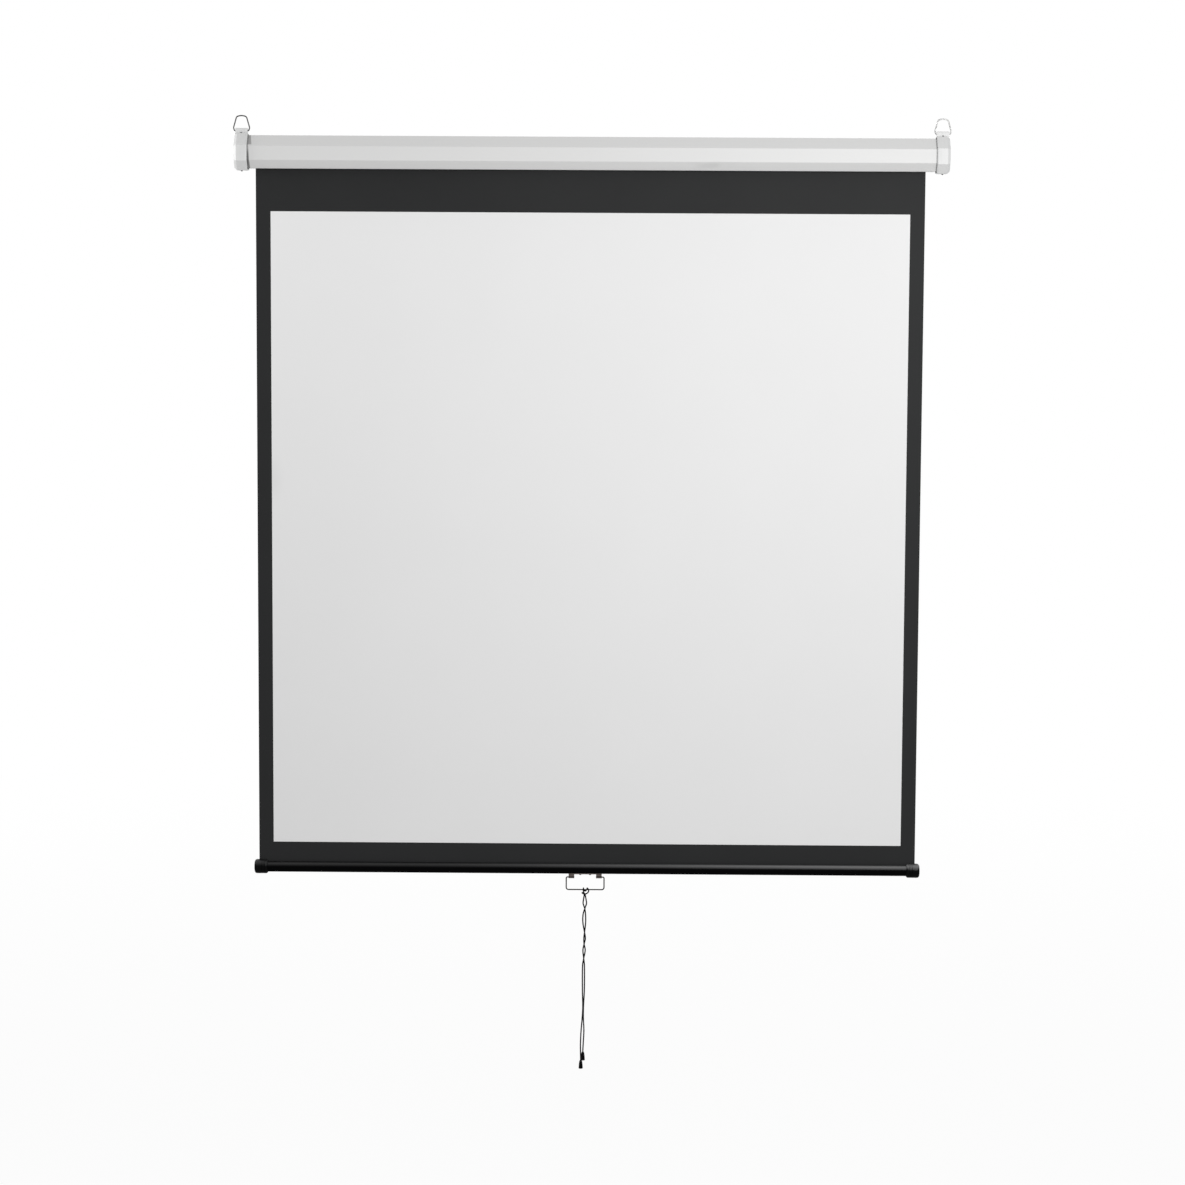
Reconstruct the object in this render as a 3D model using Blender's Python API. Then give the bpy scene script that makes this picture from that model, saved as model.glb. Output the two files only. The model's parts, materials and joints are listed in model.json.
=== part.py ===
"""Wall-hung projector screen on a spring roller, drawn down to its full drop.

Metres, +Z up. The viewer stands at -Y and X runs to the viewer's right. The origin is midway
between the inner tops of the two hanging rings, on the line where a pair of hooks carries them.
"""

import math

import bmesh
import bpy
from mathutils import Vector

MM = 0.001
GAP = 0.3 * MM
RUN_PLAY = 0.4 * MM

# Fabric and the picture area
PICTURE_WIDTH = 1524.0 * MM
PICTURE_HEIGHT = 1524.0 * MM
SIDE_BORDER = 35.0 * MM
TOP_DROP = 101.0 * MM
BOTTOM_DROP = 61.0 * MM
FABRIC_THICKNESS = 0.45 * MM
PICTURE_THICKNESS = 0.3 * MM
FABRIC_SHIFT = -3.5 * MM
FABRIC_HALF = PICTURE_WIDTH / 2 + SIDE_BORDER

# Hanging rings
RING_WIRE = 3.0 * MM
RING_RISE = 34.0 * MM
RING_CROWN_RADIUS = 24.0 * MM
RING_CROWN_SLOPE = math.radians(14)
RING_SHOULDER_HALF = 11.6 * MM
RING_SHOULDER_RADIUS = 6.0 * MM
RING_HIP_HALF = 19.2 * MM
RING_HIP_RISE = 7.0 * MM
RING_HIP_RADIUS = 4.5 * MM
RING_FOOT_HALF = 16.8 * MM
RING_FOOT_RADIUS = 2.4 * MM
RING_STUB = 6.5 * MM

# Lugs that the rings swing in
LUG_PLAY = 0.8 * MM
LUG_THICKNESS = 8.0 * MM
LUG_HEAD = 6.2 * MM
LUG_STEM = 5.7 * MM
LUG_CORNER = 2.5 * MM
LUG_HALF = RING_FOOT_HALF - RING_WIRE / 2 - LUG_PLAY
PIVOT_Z = -RING_RISE

# Case section and length
CAP_PROUD = 5.0 * MM
CASE_HEIGHT = 78.0 * MM
CASE_DEPTH = 76.0 * MM
CASE_WALL = 1.1 * MM
CASE_UPPER_FACET = 25.5 * MM
CASE_LOWER_FACET = 19.5 * MM
CASE_FOLD_RADIUS = 2.0 * MM
SLOT_WIDTH = 13.5 * MM
SLOT_FRONT_PLAY = 8.0 * MM
SLOT_LIP = 5.0 * MM
CASE_TOP = PIVOT_Z - LUG_STEM - CAP_PROUD
CASE_BOTTOM = CASE_TOP - CASE_HEIGHT

# End caps
PLUG_PLAY = 0.4 * MM
PLUG_WALL = 1.8 * MM
PLUG_LENGTH = 13.0 * MM
PLUG_FROM_FABRIC = 3.1 * MM
PLUG_LEAD = 1.0 * MM
CAP_LENGTH = 31.0 * MM
CAP_SKIN = 3.0 * MM
CAP_END_WALL = 3.0 * MM
CAP_OUTER_BEVEL = 6.3 * MM
CAP_OUTER_DROP = 5.5 * MM
CAP_INNER_BEVEL = 3.3 * MM
CAP_INNER_DROP = 1.4 * MM
CAP_EDGE = 0.6 * MM
CASE_TO_CAP = 2.2 * MM
BOSS_RADIUS = 4.0 * MM
PLUG_START = FABRIC_HALF + abs(FABRIC_SHIFT) + PLUG_FROM_FABRIC
CAP_RIM = PLUG_START + PLUG_LENGTH
CAP_END = CAP_RIM + CAP_LENGTH
CAP_MIDDLE = CAP_RIM + CAP_LENGTH / 2
CASE_HALF = CAP_RIM - CASE_TO_CAP
PLUG_OUTSET = -(CASE_WALL + PLUG_PLAY)
BORE_OUTSET = PLUG_OUTSET - PLUG_WALL

# Bearing plates and their screws
PLATE_THICKNESS = 2.0 * MM
PLATE_PLAY = 0.4 * MM
PLATE_TO_SCREW = 6.0 * MM
TAB_BEYOND_SCREW = 5.0 * MM
TAB_HALF = 8.5 * MM
SCREW_RADIUS = 1.5 * MM
SCREW_HEAD_RADIUS = 2.5 * MM
SCREW_HEAD_HEIGHT = 1.9 * MM
SCREW_TIP = 2.5 * MM
SCREW_CROWN_SHARE = 0.55
SCREW_SHOULDER_SHARE = 0.9
SCREW_POINT_SHARE = 0.4
TOP_SCREW_Y = -7.0 * MM
BOTTOM_SCREW_Y = 0.0 * MM
PLATE_INNER = CAP_MIDDLE - PLATE_TO_SCREW
PLATE_OUTER = PLATE_INNER + PLATE_THICKNESS

# Roller and the turns of fabric left on it
ROLLER_RADIUS = 18.0 * MM
ROLLER_WALL = 0.8 * MM
ROLLER_OVERHANG = 4.0 * MM
ROLLER_FORWARD = 8.0 * MM
WRAPS = 2
WRAP_SPACING = 0.35 * MM
ROLLER_HALF = FABRIC_HALF + ROLLER_OVERHANG
ROLLER_BORE = ROLLER_RADIUS - ROLLER_WALL
ROLLER_Y = -ROLLER_FORWARD
ROLLER_Z = CASE_TOP - CASE_HEIGHT / 2
ROLLER_AT = (FABRIC_SHIFT, ROLLER_Y, ROLLER_Z)
WRAP_PITCH = FABRIC_THICKNESS + WRAP_SPACING
WRAP_INNER = ROLLER_RADIUS + GAP + FABRIC_THICKNESS / 2
WRAP_OUTER = WRAP_INNER + WRAPS * WRAP_PITCH
FABRIC_Y = ROLLER_Y + WRAP_OUTER
SLOT_FRONT = FABRIC_Y - SLOT_FRONT_PLAY
SLOT_BACK = SLOT_FRONT + SLOT_WIDTH

# Roller end plugs
FLANGE_THICKNESS = 2.0 * MM
PLUG_BODY_LENGTH = 22.0 * MM
IDLE_PIN_RADIUS = 3.0 * MM
IDLE_PIN_SEAT = 18.0 * MM
PIN_BEYOND_PLATE = 4.0 * MM
BUSH_WALL = 2.5 * MM
BUSH_FLANGE = 2.0 * MM
BUSH_FLANGE_THICKNESS = 1.5 * MM
FLANGE_INNER = ROLLER_HALF + GAP
FLANGE_OUTER = FLANGE_INNER + FLANGE_THICKNESS

# Fixed axle, ratchet and pawls
AXLE_RADIUS = 4.0 * MM
AXLE_IN_ANCHOR = 10.3 * MM
AXLE_TO_PLATE = 6.0 * MM
TONGUE_THICKNESS = 3.0 * MM
TONGUE_HEIGHT = 7.0 * MM
RATCHET_RADIUS = 8.0 * MM
RATCHET_THICKNESS = 4.2 * MM
NOTCH_DEPTH = 1.9 * MM
NOTCH_WIDTH = 5.2 * MM
NOTCH_CENTRE = 0.9 * MM
PAWL_THICKNESS = 3.6 * MM
PAWL_PIVOT_Y = -7.0 * MM
PAWL_PIVOT_Z = 12.2 * MM
PAWL_EYE_RADIUS = 2.9 * MM
PAWL_PIN_RADIUS = 1.4 * MM
PAWL_ARM = 2.6 * MM
PAWL_TOOTH_Y = 2.0 * MM
PAWL_TOOTH_Z = 9.3 * MM
PAWL_TOOTH_WIDTH = 2.2 * MM
RATCHET_INNER = FLANGE_OUTER + RUN_PLAY
RATCHET_OUTER = RATCHET_INNER + RATCHET_THICKNESS

# Torsion spring inside the roller
SPRING_WIRE = 1.8 * MM
SPRING_RADIUS = 9.0 * MM
SPRING_TURNS = 22
SPRING_LENGTH = 430.0 * MM
SPRING_TAIL = 4.0 * MM
COLLAR_RADIUS = 11.0 * MM
COLLAR_THICKNESS = 6.0 * MM
COLLAR_FROM_PLUG = 8.0 * MM
ANCHOR_LENGTH = 16.0 * MM
COLLAR_OUTER = ROLLER_HALF - PLUG_BODY_LENGTH - COLLAR_FROM_PLUG
COLLAR_INNER = COLLAR_OUTER - COLLAR_THICKNESS
ANCHOR_START = COLLAR_INNER - SPRING_LENGTH

# Weight bar
BAR_RADIUS = 13.15 * MM
BAR_WALL = 1.0 * MM
BAR_SLIT = 4.4 * MM
BAR_CAP_RADIUS = 17.3 * MM
BAR_CAP_LENGTH = 32.0 * MM
BAR_CAP_OVERLAP = 20.6 * MM
BAR_CAP_SOCKET = 15.6 * MM
BAR_CAP_TAPER = 3.2 * MM
BAR_CAP_LIP = 1.6 * MM
BAR_CAP_GROOVE = 0.6 * MM
BAR_CAP_GROOVES = 3
BAR_CAP_GROOVE_PITCH = 3.6 * MM
BAR_CAP_DOME = 6.0 * MM
BAR_CAP_END_RADIUS = 11.0 * MM
BAR_CAP_CORE = 9.0 * MM
BAR_CAP_END_WALL = 4.0 * MM
BAR_IN_SOCKET = 1.6 * MM
FABRIC_IN_CAP = 2.5 * MM
PICTURE_TOP = CASE_BOTTOM - TOP_DROP
PICTURE_BOTTOM = PICTURE_TOP - PICTURE_HEIGHT
BAR_Z = PICTURE_BOTTOM - BOTTOM_DROP
BAR_Y = FABRIC_Y
BAR_CAP_INNER = FABRIC_HALF - BAR_CAP_OVERLAP
BAR_CAP_OUTER = BAR_CAP_INNER + BAR_CAP_LENGTH
BAR_SOCKET_END = BAR_CAP_INNER + BAR_CAP_SOCKET
BAR_HALF = BAR_SOCKET_END - BAR_IN_SOCKET

# Hem of the fabric, held in the bar by a rod
HEM_ROD_RADIUS = 4.0 * MM
HEM_ROD_RISE = 6.2 * MM
HEM_NECK_RISE = 15.0 * MM
HEM_NECK_PLAY = 0.2 * MM
HEM_FROM_BAR_END = 3.0 * MM
HEM_TOP = BAR_Z + HEM_NECK_RISE
BAR_AT = (FABRIC_SHIFT, BAR_Y, BAR_Z)

# Handle
BAIL_WIRE = 3.0 * MM
HANDLE_SHIFT = -3.7 * MM
BAIL_HALF = 46.0 * MM
BAIL_LEG = 31.0 * MM
BAIL_TOP_RADIUS = 3.0 * MM
BAIL_BOTTOM_RADIUS = 5.5 * MM
BAIL_STUB = 19.0 * MM
SADDLE_HALF = 40.4 * MM
SADDLE_THICKNESS = 1.2 * MM
SADDLE_ARC = math.radians(33)
KNUCKLE_WALL = 1.3 * MM
KNUCKLE_LENGTH = 14.0 * MM
KNUCKLE_DROP = 8.2 * MM
KNUCKLE_WEB = 2.4 * MM
RIVET_SPREAD = 12.0 * MM
RIVET_RADIUS = 1.5 * MM
RIVET_HEAD_RADIUS = 3.0 * MM
RIVET_HEAD_HEIGHT = 1.4 * MM
RIVET_SHOULDER_SHARE = 0.87
RIVET_FOOT_SHARE = 0.8
SADDLE_INNER = BAR_RADIUS + GAP
SADDLE_OUTER = SADDLE_INNER + SADDLE_THICKNESS
BAIL_PIVOT_Z = BAR_Z - BAR_RADIUS - KNUCKLE_DROP
BAIL_WIRE_Z = BAIL_PIVOT_Z - BAIL_LEG
HANDLE_X = FABRIC_SHIFT + HANDLE_SHIFT

# Pull cord, tied over the bail's lower wire and hanging in two strands
CORD_RADIUS = 1.25 * MM
CORD_SPACING = 11.0 * MM
HITCH_SPACING = 1.9 * MM
BELL_HEIGHT = 21.0 * MM
BELL_NECK_RADIUS = 2.2 * MM
BELL_SHOULDER_RADIUS = 3.9 * MM
BELL_SHOULDER_DROP = 5.0 * MM
BELL_FOOT_RADIUS = 5.2 * MM
BELL_FOOT_EDGE = 0.6 * MM
BELL_HOLLOW_RADIUS = 3.2 * MM
BELL_HOLLOW_DEPTH = 9.0 * MM
CORD_IN_BELL = 7.0 * MM

# Route points in millimetres from the middle of the bail's lower wire: right, back, up
HITCH_ROUTE = (
    (0.9, -1.7, -15.0),
    (-0.4, -1.6, -11.5),
    (-3.0, -2.4, -6.6),
    (-4.3, -3.6, -1.0),
    (-4.2, -1.6, 3.2),
    (-4.0, 1.9, 3.0),
    (-3.4, 3.4, -1.2),
    (0.2, 3.7, -4.2),
    (4.0, 3.5, -0.8),
    (5.0, 1.7, 3.1),
    (6.0, -1.5, 3.3),
    (8.8, -3.2, -0.6),
    (7.2, -4.2, -6.2),
    (1.8, -5.0, -9.6),
    (-3.6, -5.6, -9.2),
    (-6.9, -3.2, -8.0),
    (-5.9, 0.8, -7.6),
    (-3.0, 2.2, -9.6),
    (-2.3, 1.7, -12.4),
    (-2.2, 1.4, -15.0),
)
SHORT_ROUTE = (
    (0.9, -1.7, -15.3),
    (2.6, -1.0, -25.0),
    (3.6, 0.2, -34.0),
    (-0.2, 1.7, -46.6),
    (-4.6, 0.2, -62.0),
    (-4.9, -0.6, -82.0),
    (-0.9, -1.8, -105.0),
    (1.3, -0.4, -121.0),
    (-1.4, 1.7, -134.0),
    (-4.5, 0.4, -150.0),
    (-2.4, -1.8, -171.0),
    (-0.7, -0.5, -188.0),
    (-0.6, -0.3, -250.0),
    (-2.4, -1.7, -290.0),
    (-2.6, -2.2, -318.0),
    (-1.2, -2.0, -350.0),
    (-2.7, -2.1, -383.0),
    (-3.6, -2.2, -403.0),
    (-3.6, -2.2, -409.6),
)
LONG_ROUTE = (
    (-2.2, 1.4, -15.3),
    (-3.8, 1.0, -25.0),
    (-4.6, -0.2, -34.0),
    (-0.6, -1.7, -46.6),
    (1.4, -0.2, -62.0),
    (1.7, 0.6, -82.0),
    (-0.7, 1.8, -105.0),
    (-2.4, 0.6, -121.0),
    (-1.8, -1.7, -134.0),
    (1.0, -0.4, -150.0),
    (-2.5, 1.8, -171.0),
    (-5.2, 0.8, -188.0),
    (-5.3, 0.8, -250.0),
    (-4.2, 1.7, -290.0),
    (-5.4, 2.2, -318.0),
    (-8.0, 2.6, -350.0),
    (-9.4, 3.0, -383.0),
    (-9.2, 3.0, -406.0),
    (-8.7, 2.8, -425.0),
    (-8.6, 2.8, -431.6),
)


def material(name, colour, roughness, metallic=0.0):
    """A plain Principled surface."""
    made = bpy.data.materials.new(name)
    made.use_nodes = True
    shader = made.node_tree.nodes["Principled BSDF"]
    shader.inputs["Base Color"].default_value = (*colour, 1.0)
    shader.inputs["Roughness"].default_value = roughness
    shader.inputs["Metallic"].default_value = metallic
    made.diffuse_color = (*colour, 1.0)
    return made


def world_place(empty):
    """Where an empty stands, summed over the empties that carry it."""
    total = Vector((0, 0, 0))
    while empty:
        total += empty.location
        empty = empty.parent
    return total


def place(obj, surface, parent=None):
    """Links an object, gives it its surface and hangs it on its parent without moving it."""
    bpy.context.scene.collection.objects.link(obj)
    obj.data.materials.append(surface)
    obj.parent = parent
    obj.location = obj.location - world_place(parent)
    return obj


def face_outward(mesh):
    """Turns every face of a closed bmesh to the outside."""
    bmesh.ops.recalc_face_normals(mesh, faces=mesh.faces)
    if mesh.calc_volume(signed=True) < 0:
        bmesh.ops.reverse_faces(mesh, faces=mesh.faces)


def from_bmesh(name, mesh, surface, location=(0, 0, 0), parent=None, smooth=True):
    """An object at a location, from a bmesh drawn in the object's own coordinates."""
    face_outward(mesh)
    data = bpy.data.meshes.new(name)
    mesh.to_mesh(data)
    mesh.free()
    if smooth:
        data.shade_smooth()
        data.set_sharp_from_angle(angle=math.radians(32))
    obj = bpy.data.objects.new(name, data)
    obj.location = location
    return place(obj, surface, parent)


def axis_empty(name, location, parent=None):
    """An empty that stands on a joint's axis and carries the pieces that move with it."""
    empty = bpy.data.objects.new(name, None)
    empty.location = location
    empty.empty_display_size = 20 * MM
    bpy.context.scene.collection.objects.link(empty)
    empty.parent = parent
    empty.location = empty.location - world_place(parent)
    return empty


def lofted(loops):
    """A bmesh skinned over loops of equal count, with the first and last loops closed."""
    mesh = bmesh.new()
    rows = [[mesh.verts.new(point) for point in loop] for loop in loops]
    for row, following in zip(rows, rows[1:]):
        for i in range(len(row)):
            j = (i + 1) % len(row)
            mesh.faces.new((row[i], row[j], following[j], following[i]))
    mesh.faces.new(rows[0])
    mesh.faces.new(rows[-1])
    return mesh


def prism(outline, start, end):
    """A bmesh of an outline in Y and Z, drawn along X from start to end."""
    return lofted([[(x, point[0], point[1]) for point in outline] for x in (start, end)])


def circle(sides):
    """Unit points around a circle, free of rounding specks."""
    angles = [math.tau * k / sides for k in range(sides)]
    return [(round(math.cos(a), 9), round(math.sin(a), 9)) for a in angles]


def turned_x(profile, sides=24):
    """A bmesh turned about the X axis from (x, radius) pairs that start and end on it."""
    return turned(profile, sides, lambda x, y, z: (x, y, z))


def turned_z(profile, sides=24):
    """A bmesh turned about the Z axis from (z, radius) pairs that start and end on it."""
    return turned(profile, sides, lambda z, x, y: (x, y, z))


def turned(profile, sides, arrange):
    """The profile's points off the axis become rings, and its two ends close on the axis."""
    mesh = bmesh.new()
    first = mesh.verts.new(arrange(profile[0][0], 0, 0))
    last = mesh.verts.new(arrange(profile[-1][0], 0, 0))
    rows = []
    for along, radius in profile[1:-1]:
        rows.append([mesh.verts.new(arrange(along, radius * c, radius * s)) for c, s in circle(sides)])
    for i in range(sides):
        j = (i + 1) % sides
        mesh.faces.new((first, rows[0][j], rows[0][i]))
        mesh.faces.new((last, rows[-1][i], rows[-1][j]))
        for row, following in zip(rows, rows[1:]):
            mesh.faces.new((row[i], row[j], following[j], following[i]))
    return mesh


def pipe_x(start, end, inner, outer, sides=40):
    """A bmesh tube along X."""
    loops = ((start, inner), (start, outer), (end, outer), (end, inner))
    mesh = bmesh.new()
    rows = []
    for x, radius in loops:
        rows.append([mesh.verts.new((x, radius * c, radius * s)) for c, s in circle(sides)])
    for row, following in zip(rows, rows[1:] + rows[:1]):
        for i in range(sides):
            j = (i + 1) % sides
            mesh.faces.new((row[i], row[j], following[j], following[i]))
    return mesh


def box(low, high):
    """A bmesh box between two corners."""
    outline = [(low[1], low[2]), (high[1], low[2]), (high[1], high[2]), (low[1], high[2])]
    return prism(outline, low[0], high[0])


def rounded(corners, radii, closed=False, steps=3):
    """The corners as a path on which each corner is an arc of its own radius."""
    points = []
    last = len(corners) - 1
    for i, (corner, radius) in enumerate(zip(corners, radii)):
        corner = Vector(corner)
        if radius == 0 or (not closed and i in (0, last)):
            points.append(corner)
            continue
        back = (Vector(corners[i - 1]) - corner).normalized()
        ahead = (Vector(corners[(i + 1) % len(corners)]) - corner).normalized()
        half = back.angle(ahead) / 2
        centre = corner + (back + ahead).normalized() * radius / math.sin(half)
        start = corner + back * radius / math.tan(half) - centre
        end = corner + ahead * radius / math.tan(half) - centre
        reach = start.length
        points += [centre + start.slerp(end, k / steps).normalized() * reach for k in range(steps + 1)]
    return points


def ribbon(path, thickness):
    """The outline of a strip of even thickness that follows a path in Y and Z."""
    near, far = [], []
    for i, point in enumerate(path):
        ahead = path[min(i + 1, len(path) - 1)] - path[max(i - 1, 0)]
        normal = Vector((-ahead[1], ahead[0])).normalized() * thickness / 2
        near.append(point + normal)
        far.append(point - normal)
    return near + far[::-1]


def arc(centre, radius, start, end, steps):
    """Points on an arc in Y and Z, both ends included."""
    angles = [start + (end - start) * k / steps for k in range(steps + 1)]
    return [Vector((centre[0] + radius * math.cos(a), centre[1] + radius * math.sin(a))) for a in angles]


def cutter(name, mesh, location=(0, 0, 0)):
    """A helper solid that only shapes another object."""
    face_outward(mesh)
    data = bpy.data.meshes.new(name)
    mesh.to_mesh(data)
    mesh.free()
    obj = bpy.data.objects.new(name, data)
    obj.location = location
    obj.hide_render = True
    obj.display_type = "WIRE"
    bpy.context.scene.collection.objects.link(obj)
    return obj


def combine(obj, other, operation):
    """Joins a helper solid to an object, or cuts it out."""
    step = obj.modifiers.new(other.name, "BOOLEAN")
    step.object = other
    step.operation = operation
    step.solver = "EXACT"
    return obj


def soften(obj, width):
    """Rounds an object's edges slightly."""
    step = obj.modifiers.new("soft_edges", "BEVEL")
    step.width = width
    step.segments = 1
    step.limit_method = "ANGLE"
    step.angle_limit = math.radians(30)
    return obj


def tube(name, points, radius, surface, location=(0, 0, 0), parent=None, resolution=2):
    """A round wire or cord along points, as a curve with closed ends."""
    curve = bpy.data.curves.new(name, "CURVE")
    curve.dimensions = "3D"
    curve.bevel_depth = radius
    curve.bevel_resolution = resolution
    curve.use_fill_caps = True
    spline = curve.splines.new("POLY")
    spline.points.add(len(points) - 1)
    for target, point in zip(spline.points, points):
        target.co = (*point, 1)
    obj = bpy.data.objects.new(name, curve)
    obj.location = location
    return place(obj, surface, parent)


def smooth_route(route, spacing):
    """Evenly spaced points on a smooth curve through a route's own points."""
    knots = [Vector(point) * MM for point in route]
    reach = [0.0]
    for a, b in zip(knots, knots[1:]):
        reach.append(reach[-1] + (b - a).length)
    slopes = []
    for i in range(len(knots)):
        low, high = max(i - 1, 0), min(i + 1, len(knots) - 1)
        slopes.append((knots[high] - knots[low]) / (reach[high] - reach[low]))
    count = max(2, round(reach[-1] / spacing))
    points = []
    for k in range(count + 1):
        along = reach[-1] * k / count
        i = max(j for j in range(len(knots) - 1) if reach[j] <= along + 1e-9)
        span = reach[i + 1] - reach[i]
        t = (along - reach[i]) / span
        points.append(
            knots[i] * (2 * t**3 - 3 * t**2 + 1)
            + slopes[i] * span * (t**3 - 2 * t**2 + t)
            + knots[i + 1] * (3 * t**2 - 2 * t**3)
            + slopes[i + 1] * span * (t**3 - t**2)
        )
    return points


def least_gap(points, others, apart, radius):
    """The least clear distance between two cords of one radius, or between parts of one cord."""
    gaps = [
        (a - b).length - 2 * radius
        for i, a in enumerate(points)
        for j, b in enumerate(others)
        if points is not others or j - i > apart
    ]
    return min(gaps)


def case_corners(outset):
    """The eight corners of the case's section, moved outward by an outset."""
    half = CASE_DEPTH / 2 + outset
    top = CASE_TOP + outset
    bottom = CASE_BOTTOM - outset
    upper = CASE_UPPER_FACET + outset * (2 - math.sqrt(2))
    lower = CASE_LOWER_FACET + outset * (2 - math.sqrt(2))
    return [
        (-half, bottom + lower),
        (-half, top - upper),
        (-half + upper, top),
        (half - upper, top),
        (half, top - upper),
        (half, bottom + lower),
        (half - lower, bottom),
        (-half + lower, bottom),
    ]


def make_case(surface):
    """Rolled sheet folded into eight facets, open along a lipped slot for the fabric."""
    lip_top = CASE_BOTTOM + SLOT_LIP
    outer = case_corners(0)
    inner = case_corners(-CASE_WALL)
    front_lip = [
        (SLOT_FRONT - CASE_WALL, CASE_BOTTOM + CASE_WALL),
        (SLOT_FRONT - CASE_WALL, lip_top),
        (SLOT_FRONT, lip_top),
        (SLOT_FRONT, CASE_BOTTOM),
    ]
    back_lip = [
        (SLOT_BACK, CASE_BOTTOM),
        (SLOT_BACK, lip_top),
        (SLOT_BACK + CASE_WALL, lip_top),
        (SLOT_BACK + CASE_WALL, CASE_BOTTOM + CASE_WALL),
    ]
    inner_radius = CASE_FOLD_RADIUS - CASE_WALL
    outer_lap = [outer[7], *outer[:7]]
    inner_lap = [*inner[:7][::-1], inner[7]]
    corners = front_lip + outer_lap + back_lip + inner_lap
    radii = [inner_radius / 2, 0, 0, CASE_FOLD_RADIUS / 2]
    radii += [CASE_FOLD_RADIUS] * 8
    radii += [CASE_FOLD_RADIUS / 2, 0, 0, inner_radius / 2]
    radii += [inner_radius] * 8
    outline = rounded(corners, radii, closed=True)
    return from_bmesh("case_housing", prism(outline, -CASE_HALF, CASE_HALF), surface)


def cap_profile():
    """(distance from the middle, outset) of an end cap's loops, from the hollow's end outward."""
    bore_end = CAP_END - CAP_END_WALL
    groove_end = CAP_END - CAP_OUTER_BEVEL - GAP
    skin = CAP_PROUD - CAP_SKIN
    return (
        (bore_end, BORE_OUTSET),
        (PLUG_START, BORE_OUTSET),
        (PLUG_START, PLUG_OUTSET - PLUG_LEAD / 2),
        (PLUG_START + PLUG_LEAD, PLUG_OUTSET),
        (groove_end, PLUG_OUTSET),
        (groove_end, skin),
        (CAP_RIM, skin),
        (CAP_RIM, CAP_PROUD - CAP_INNER_DROP),
        (CAP_RIM + CAP_INNER_BEVEL, CAP_PROUD),
        (CAP_END - CAP_OUTER_BEVEL, CAP_PROUD),
        (CAP_END, CAP_PROUD - CAP_OUTER_DROP),
    )


def screw_seats():
    """(name, y, head seat height, direction of the head) of an end cap's two screws."""
    return (
        ("top", TOP_SCREW_Y, CASE_TOP + CAP_PROUD, 1),
        ("bottom", BOTTOM_SCREW_Y, CASE_BOTTOM - CAP_PROUD, -1),
    )


def make_end_cap(side, name, surface):
    """A moulded cap: a plug for the case's end, a cored skirt, screw bosses and a ring lug."""
    loops = [
        [(side * x, y, z) for y, z in case_corners(outset)] for x, outset in cap_profile()
    ]
    cap = soften(from_bmesh(f"end_cap_{name}", lofted(loops), surface, smooth=False), CAP_EDGE)
    middle = side * CAP_MIDDLE

    lug_top = PIVOT_Z + LUG_HEAD
    lug_root = CASE_TOP + PLUG_OUTSET - PLUG_WALL / 2
    half = LUG_THICKNESS / 2
    corners = [(-half, lug_root), (-half, lug_top), (half, lug_top), (half, lug_root)]
    outline = rounded(corners, [0, LUG_CORNER, LUG_CORNER, 0], closed=True)
    lug = cutter(f"lug_{name}", prism(outline, middle - LUG_HALF, middle + LUG_HALF))
    combine(cap, lug, "UNION")

    for seat, y, height, up in screw_seats():
        inside = height - up * (CAP_PROUD - BORE_OUTSET - PLUG_WALL / 2)
        outside = height - up * CAP_SKIN / 2
        low, high = sorted((inside, outside))
        profile = ((low, 0), (low, BOSS_RADIUS), (high, BOSS_RADIUS), (high, 0))
        boss = cutter(f"boss_{seat}_{name}", turned_z(profile, 16), (middle, y, 0))
        combine(cap, boss, "UNION")
    for seat, y, height, up in screw_seats():
        hole_radius = SCREW_RADIUS + GAP
        ends = (height + up * CAP_PROUD, height - up * (2 * CAP_PROUD - BORE_OUTSET))
        low, high = sorted(ends)
        profile = ((low, 0), (low, hole_radius), (high, hole_radius), (high, 0))
        hole = cutter(f"screw_hole_{seat}_{name}", turned_z(profile, 12), (middle, y, 0))
        combine(cap, hole, "DIFFERENCE")

    reach = LUG_HALF + LUG_PLAY
    hole_radius = RING_WIRE / 2 + GAP
    profile = ((-reach, 0), (-reach, hole_radius), (reach, hole_radius), (reach, 0))
    eye = cutter(f"ring_eye_{name}", turned_x(profile, 16), (middle, 0, PIVOT_Z))
    combine(cap, eye, "DIFFERENCE")

    notch_low = (PLUG_START - PLUG_LEAD, SLOT_FRONT - CASE_WALL - RUN_PLAY, CASE_BOTTOM)
    notch_high = (CAP_RIM, SLOT_BACK + CASE_WALL + RUN_PLAY, CASE_BOTTOM + SLOT_LIP + RUN_PLAY)
    ends = sorted((side * notch_low[0], side * notch_high[0]))
    notch = box((ends[0], *notch_low[1:]), (ends[1], *notch_high[1:]))
    combine(cap, cutter(f"slot_notch_{name}", notch), "DIFFERENCE")
    return cap


def ring_path():
    """A wire ring's route: an arched crown, straight legs and pivot ends turned into the lug."""
    arch = 1 / math.cos(RING_CROWN_SLOPE) - 1
    crown = RING_WIRE / 2 + RING_CROWN_RADIUS * arch
    shoulder = crown - RING_SHOULDER_HALF * math.tan(RING_CROWN_SLOPE)
    stub_end = LUG_HALF - RING_STUB
    right = [
        (RING_SHOULDER_HALF, shoulder, RING_SHOULDER_RADIUS),
        (RING_HIP_HALF, PIVOT_Z + RING_HIP_RISE, RING_HIP_RADIUS),
        (RING_FOOT_HALF, PIVOT_Z, RING_FOOT_RADIUS),
        (stub_end, PIVOT_Z, 0),
    ]
    left = [(-x, z, radius) for x, z, radius in right[::-1]]
    stops = [*left, (0, crown, RING_CROWN_RADIUS), *right]
    corners = [(x, 0, z - PIVOT_Z) for x, z, _ in stops]
    return rounded(corners, [radius for _, _, radius in stops], steps=4)


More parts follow.
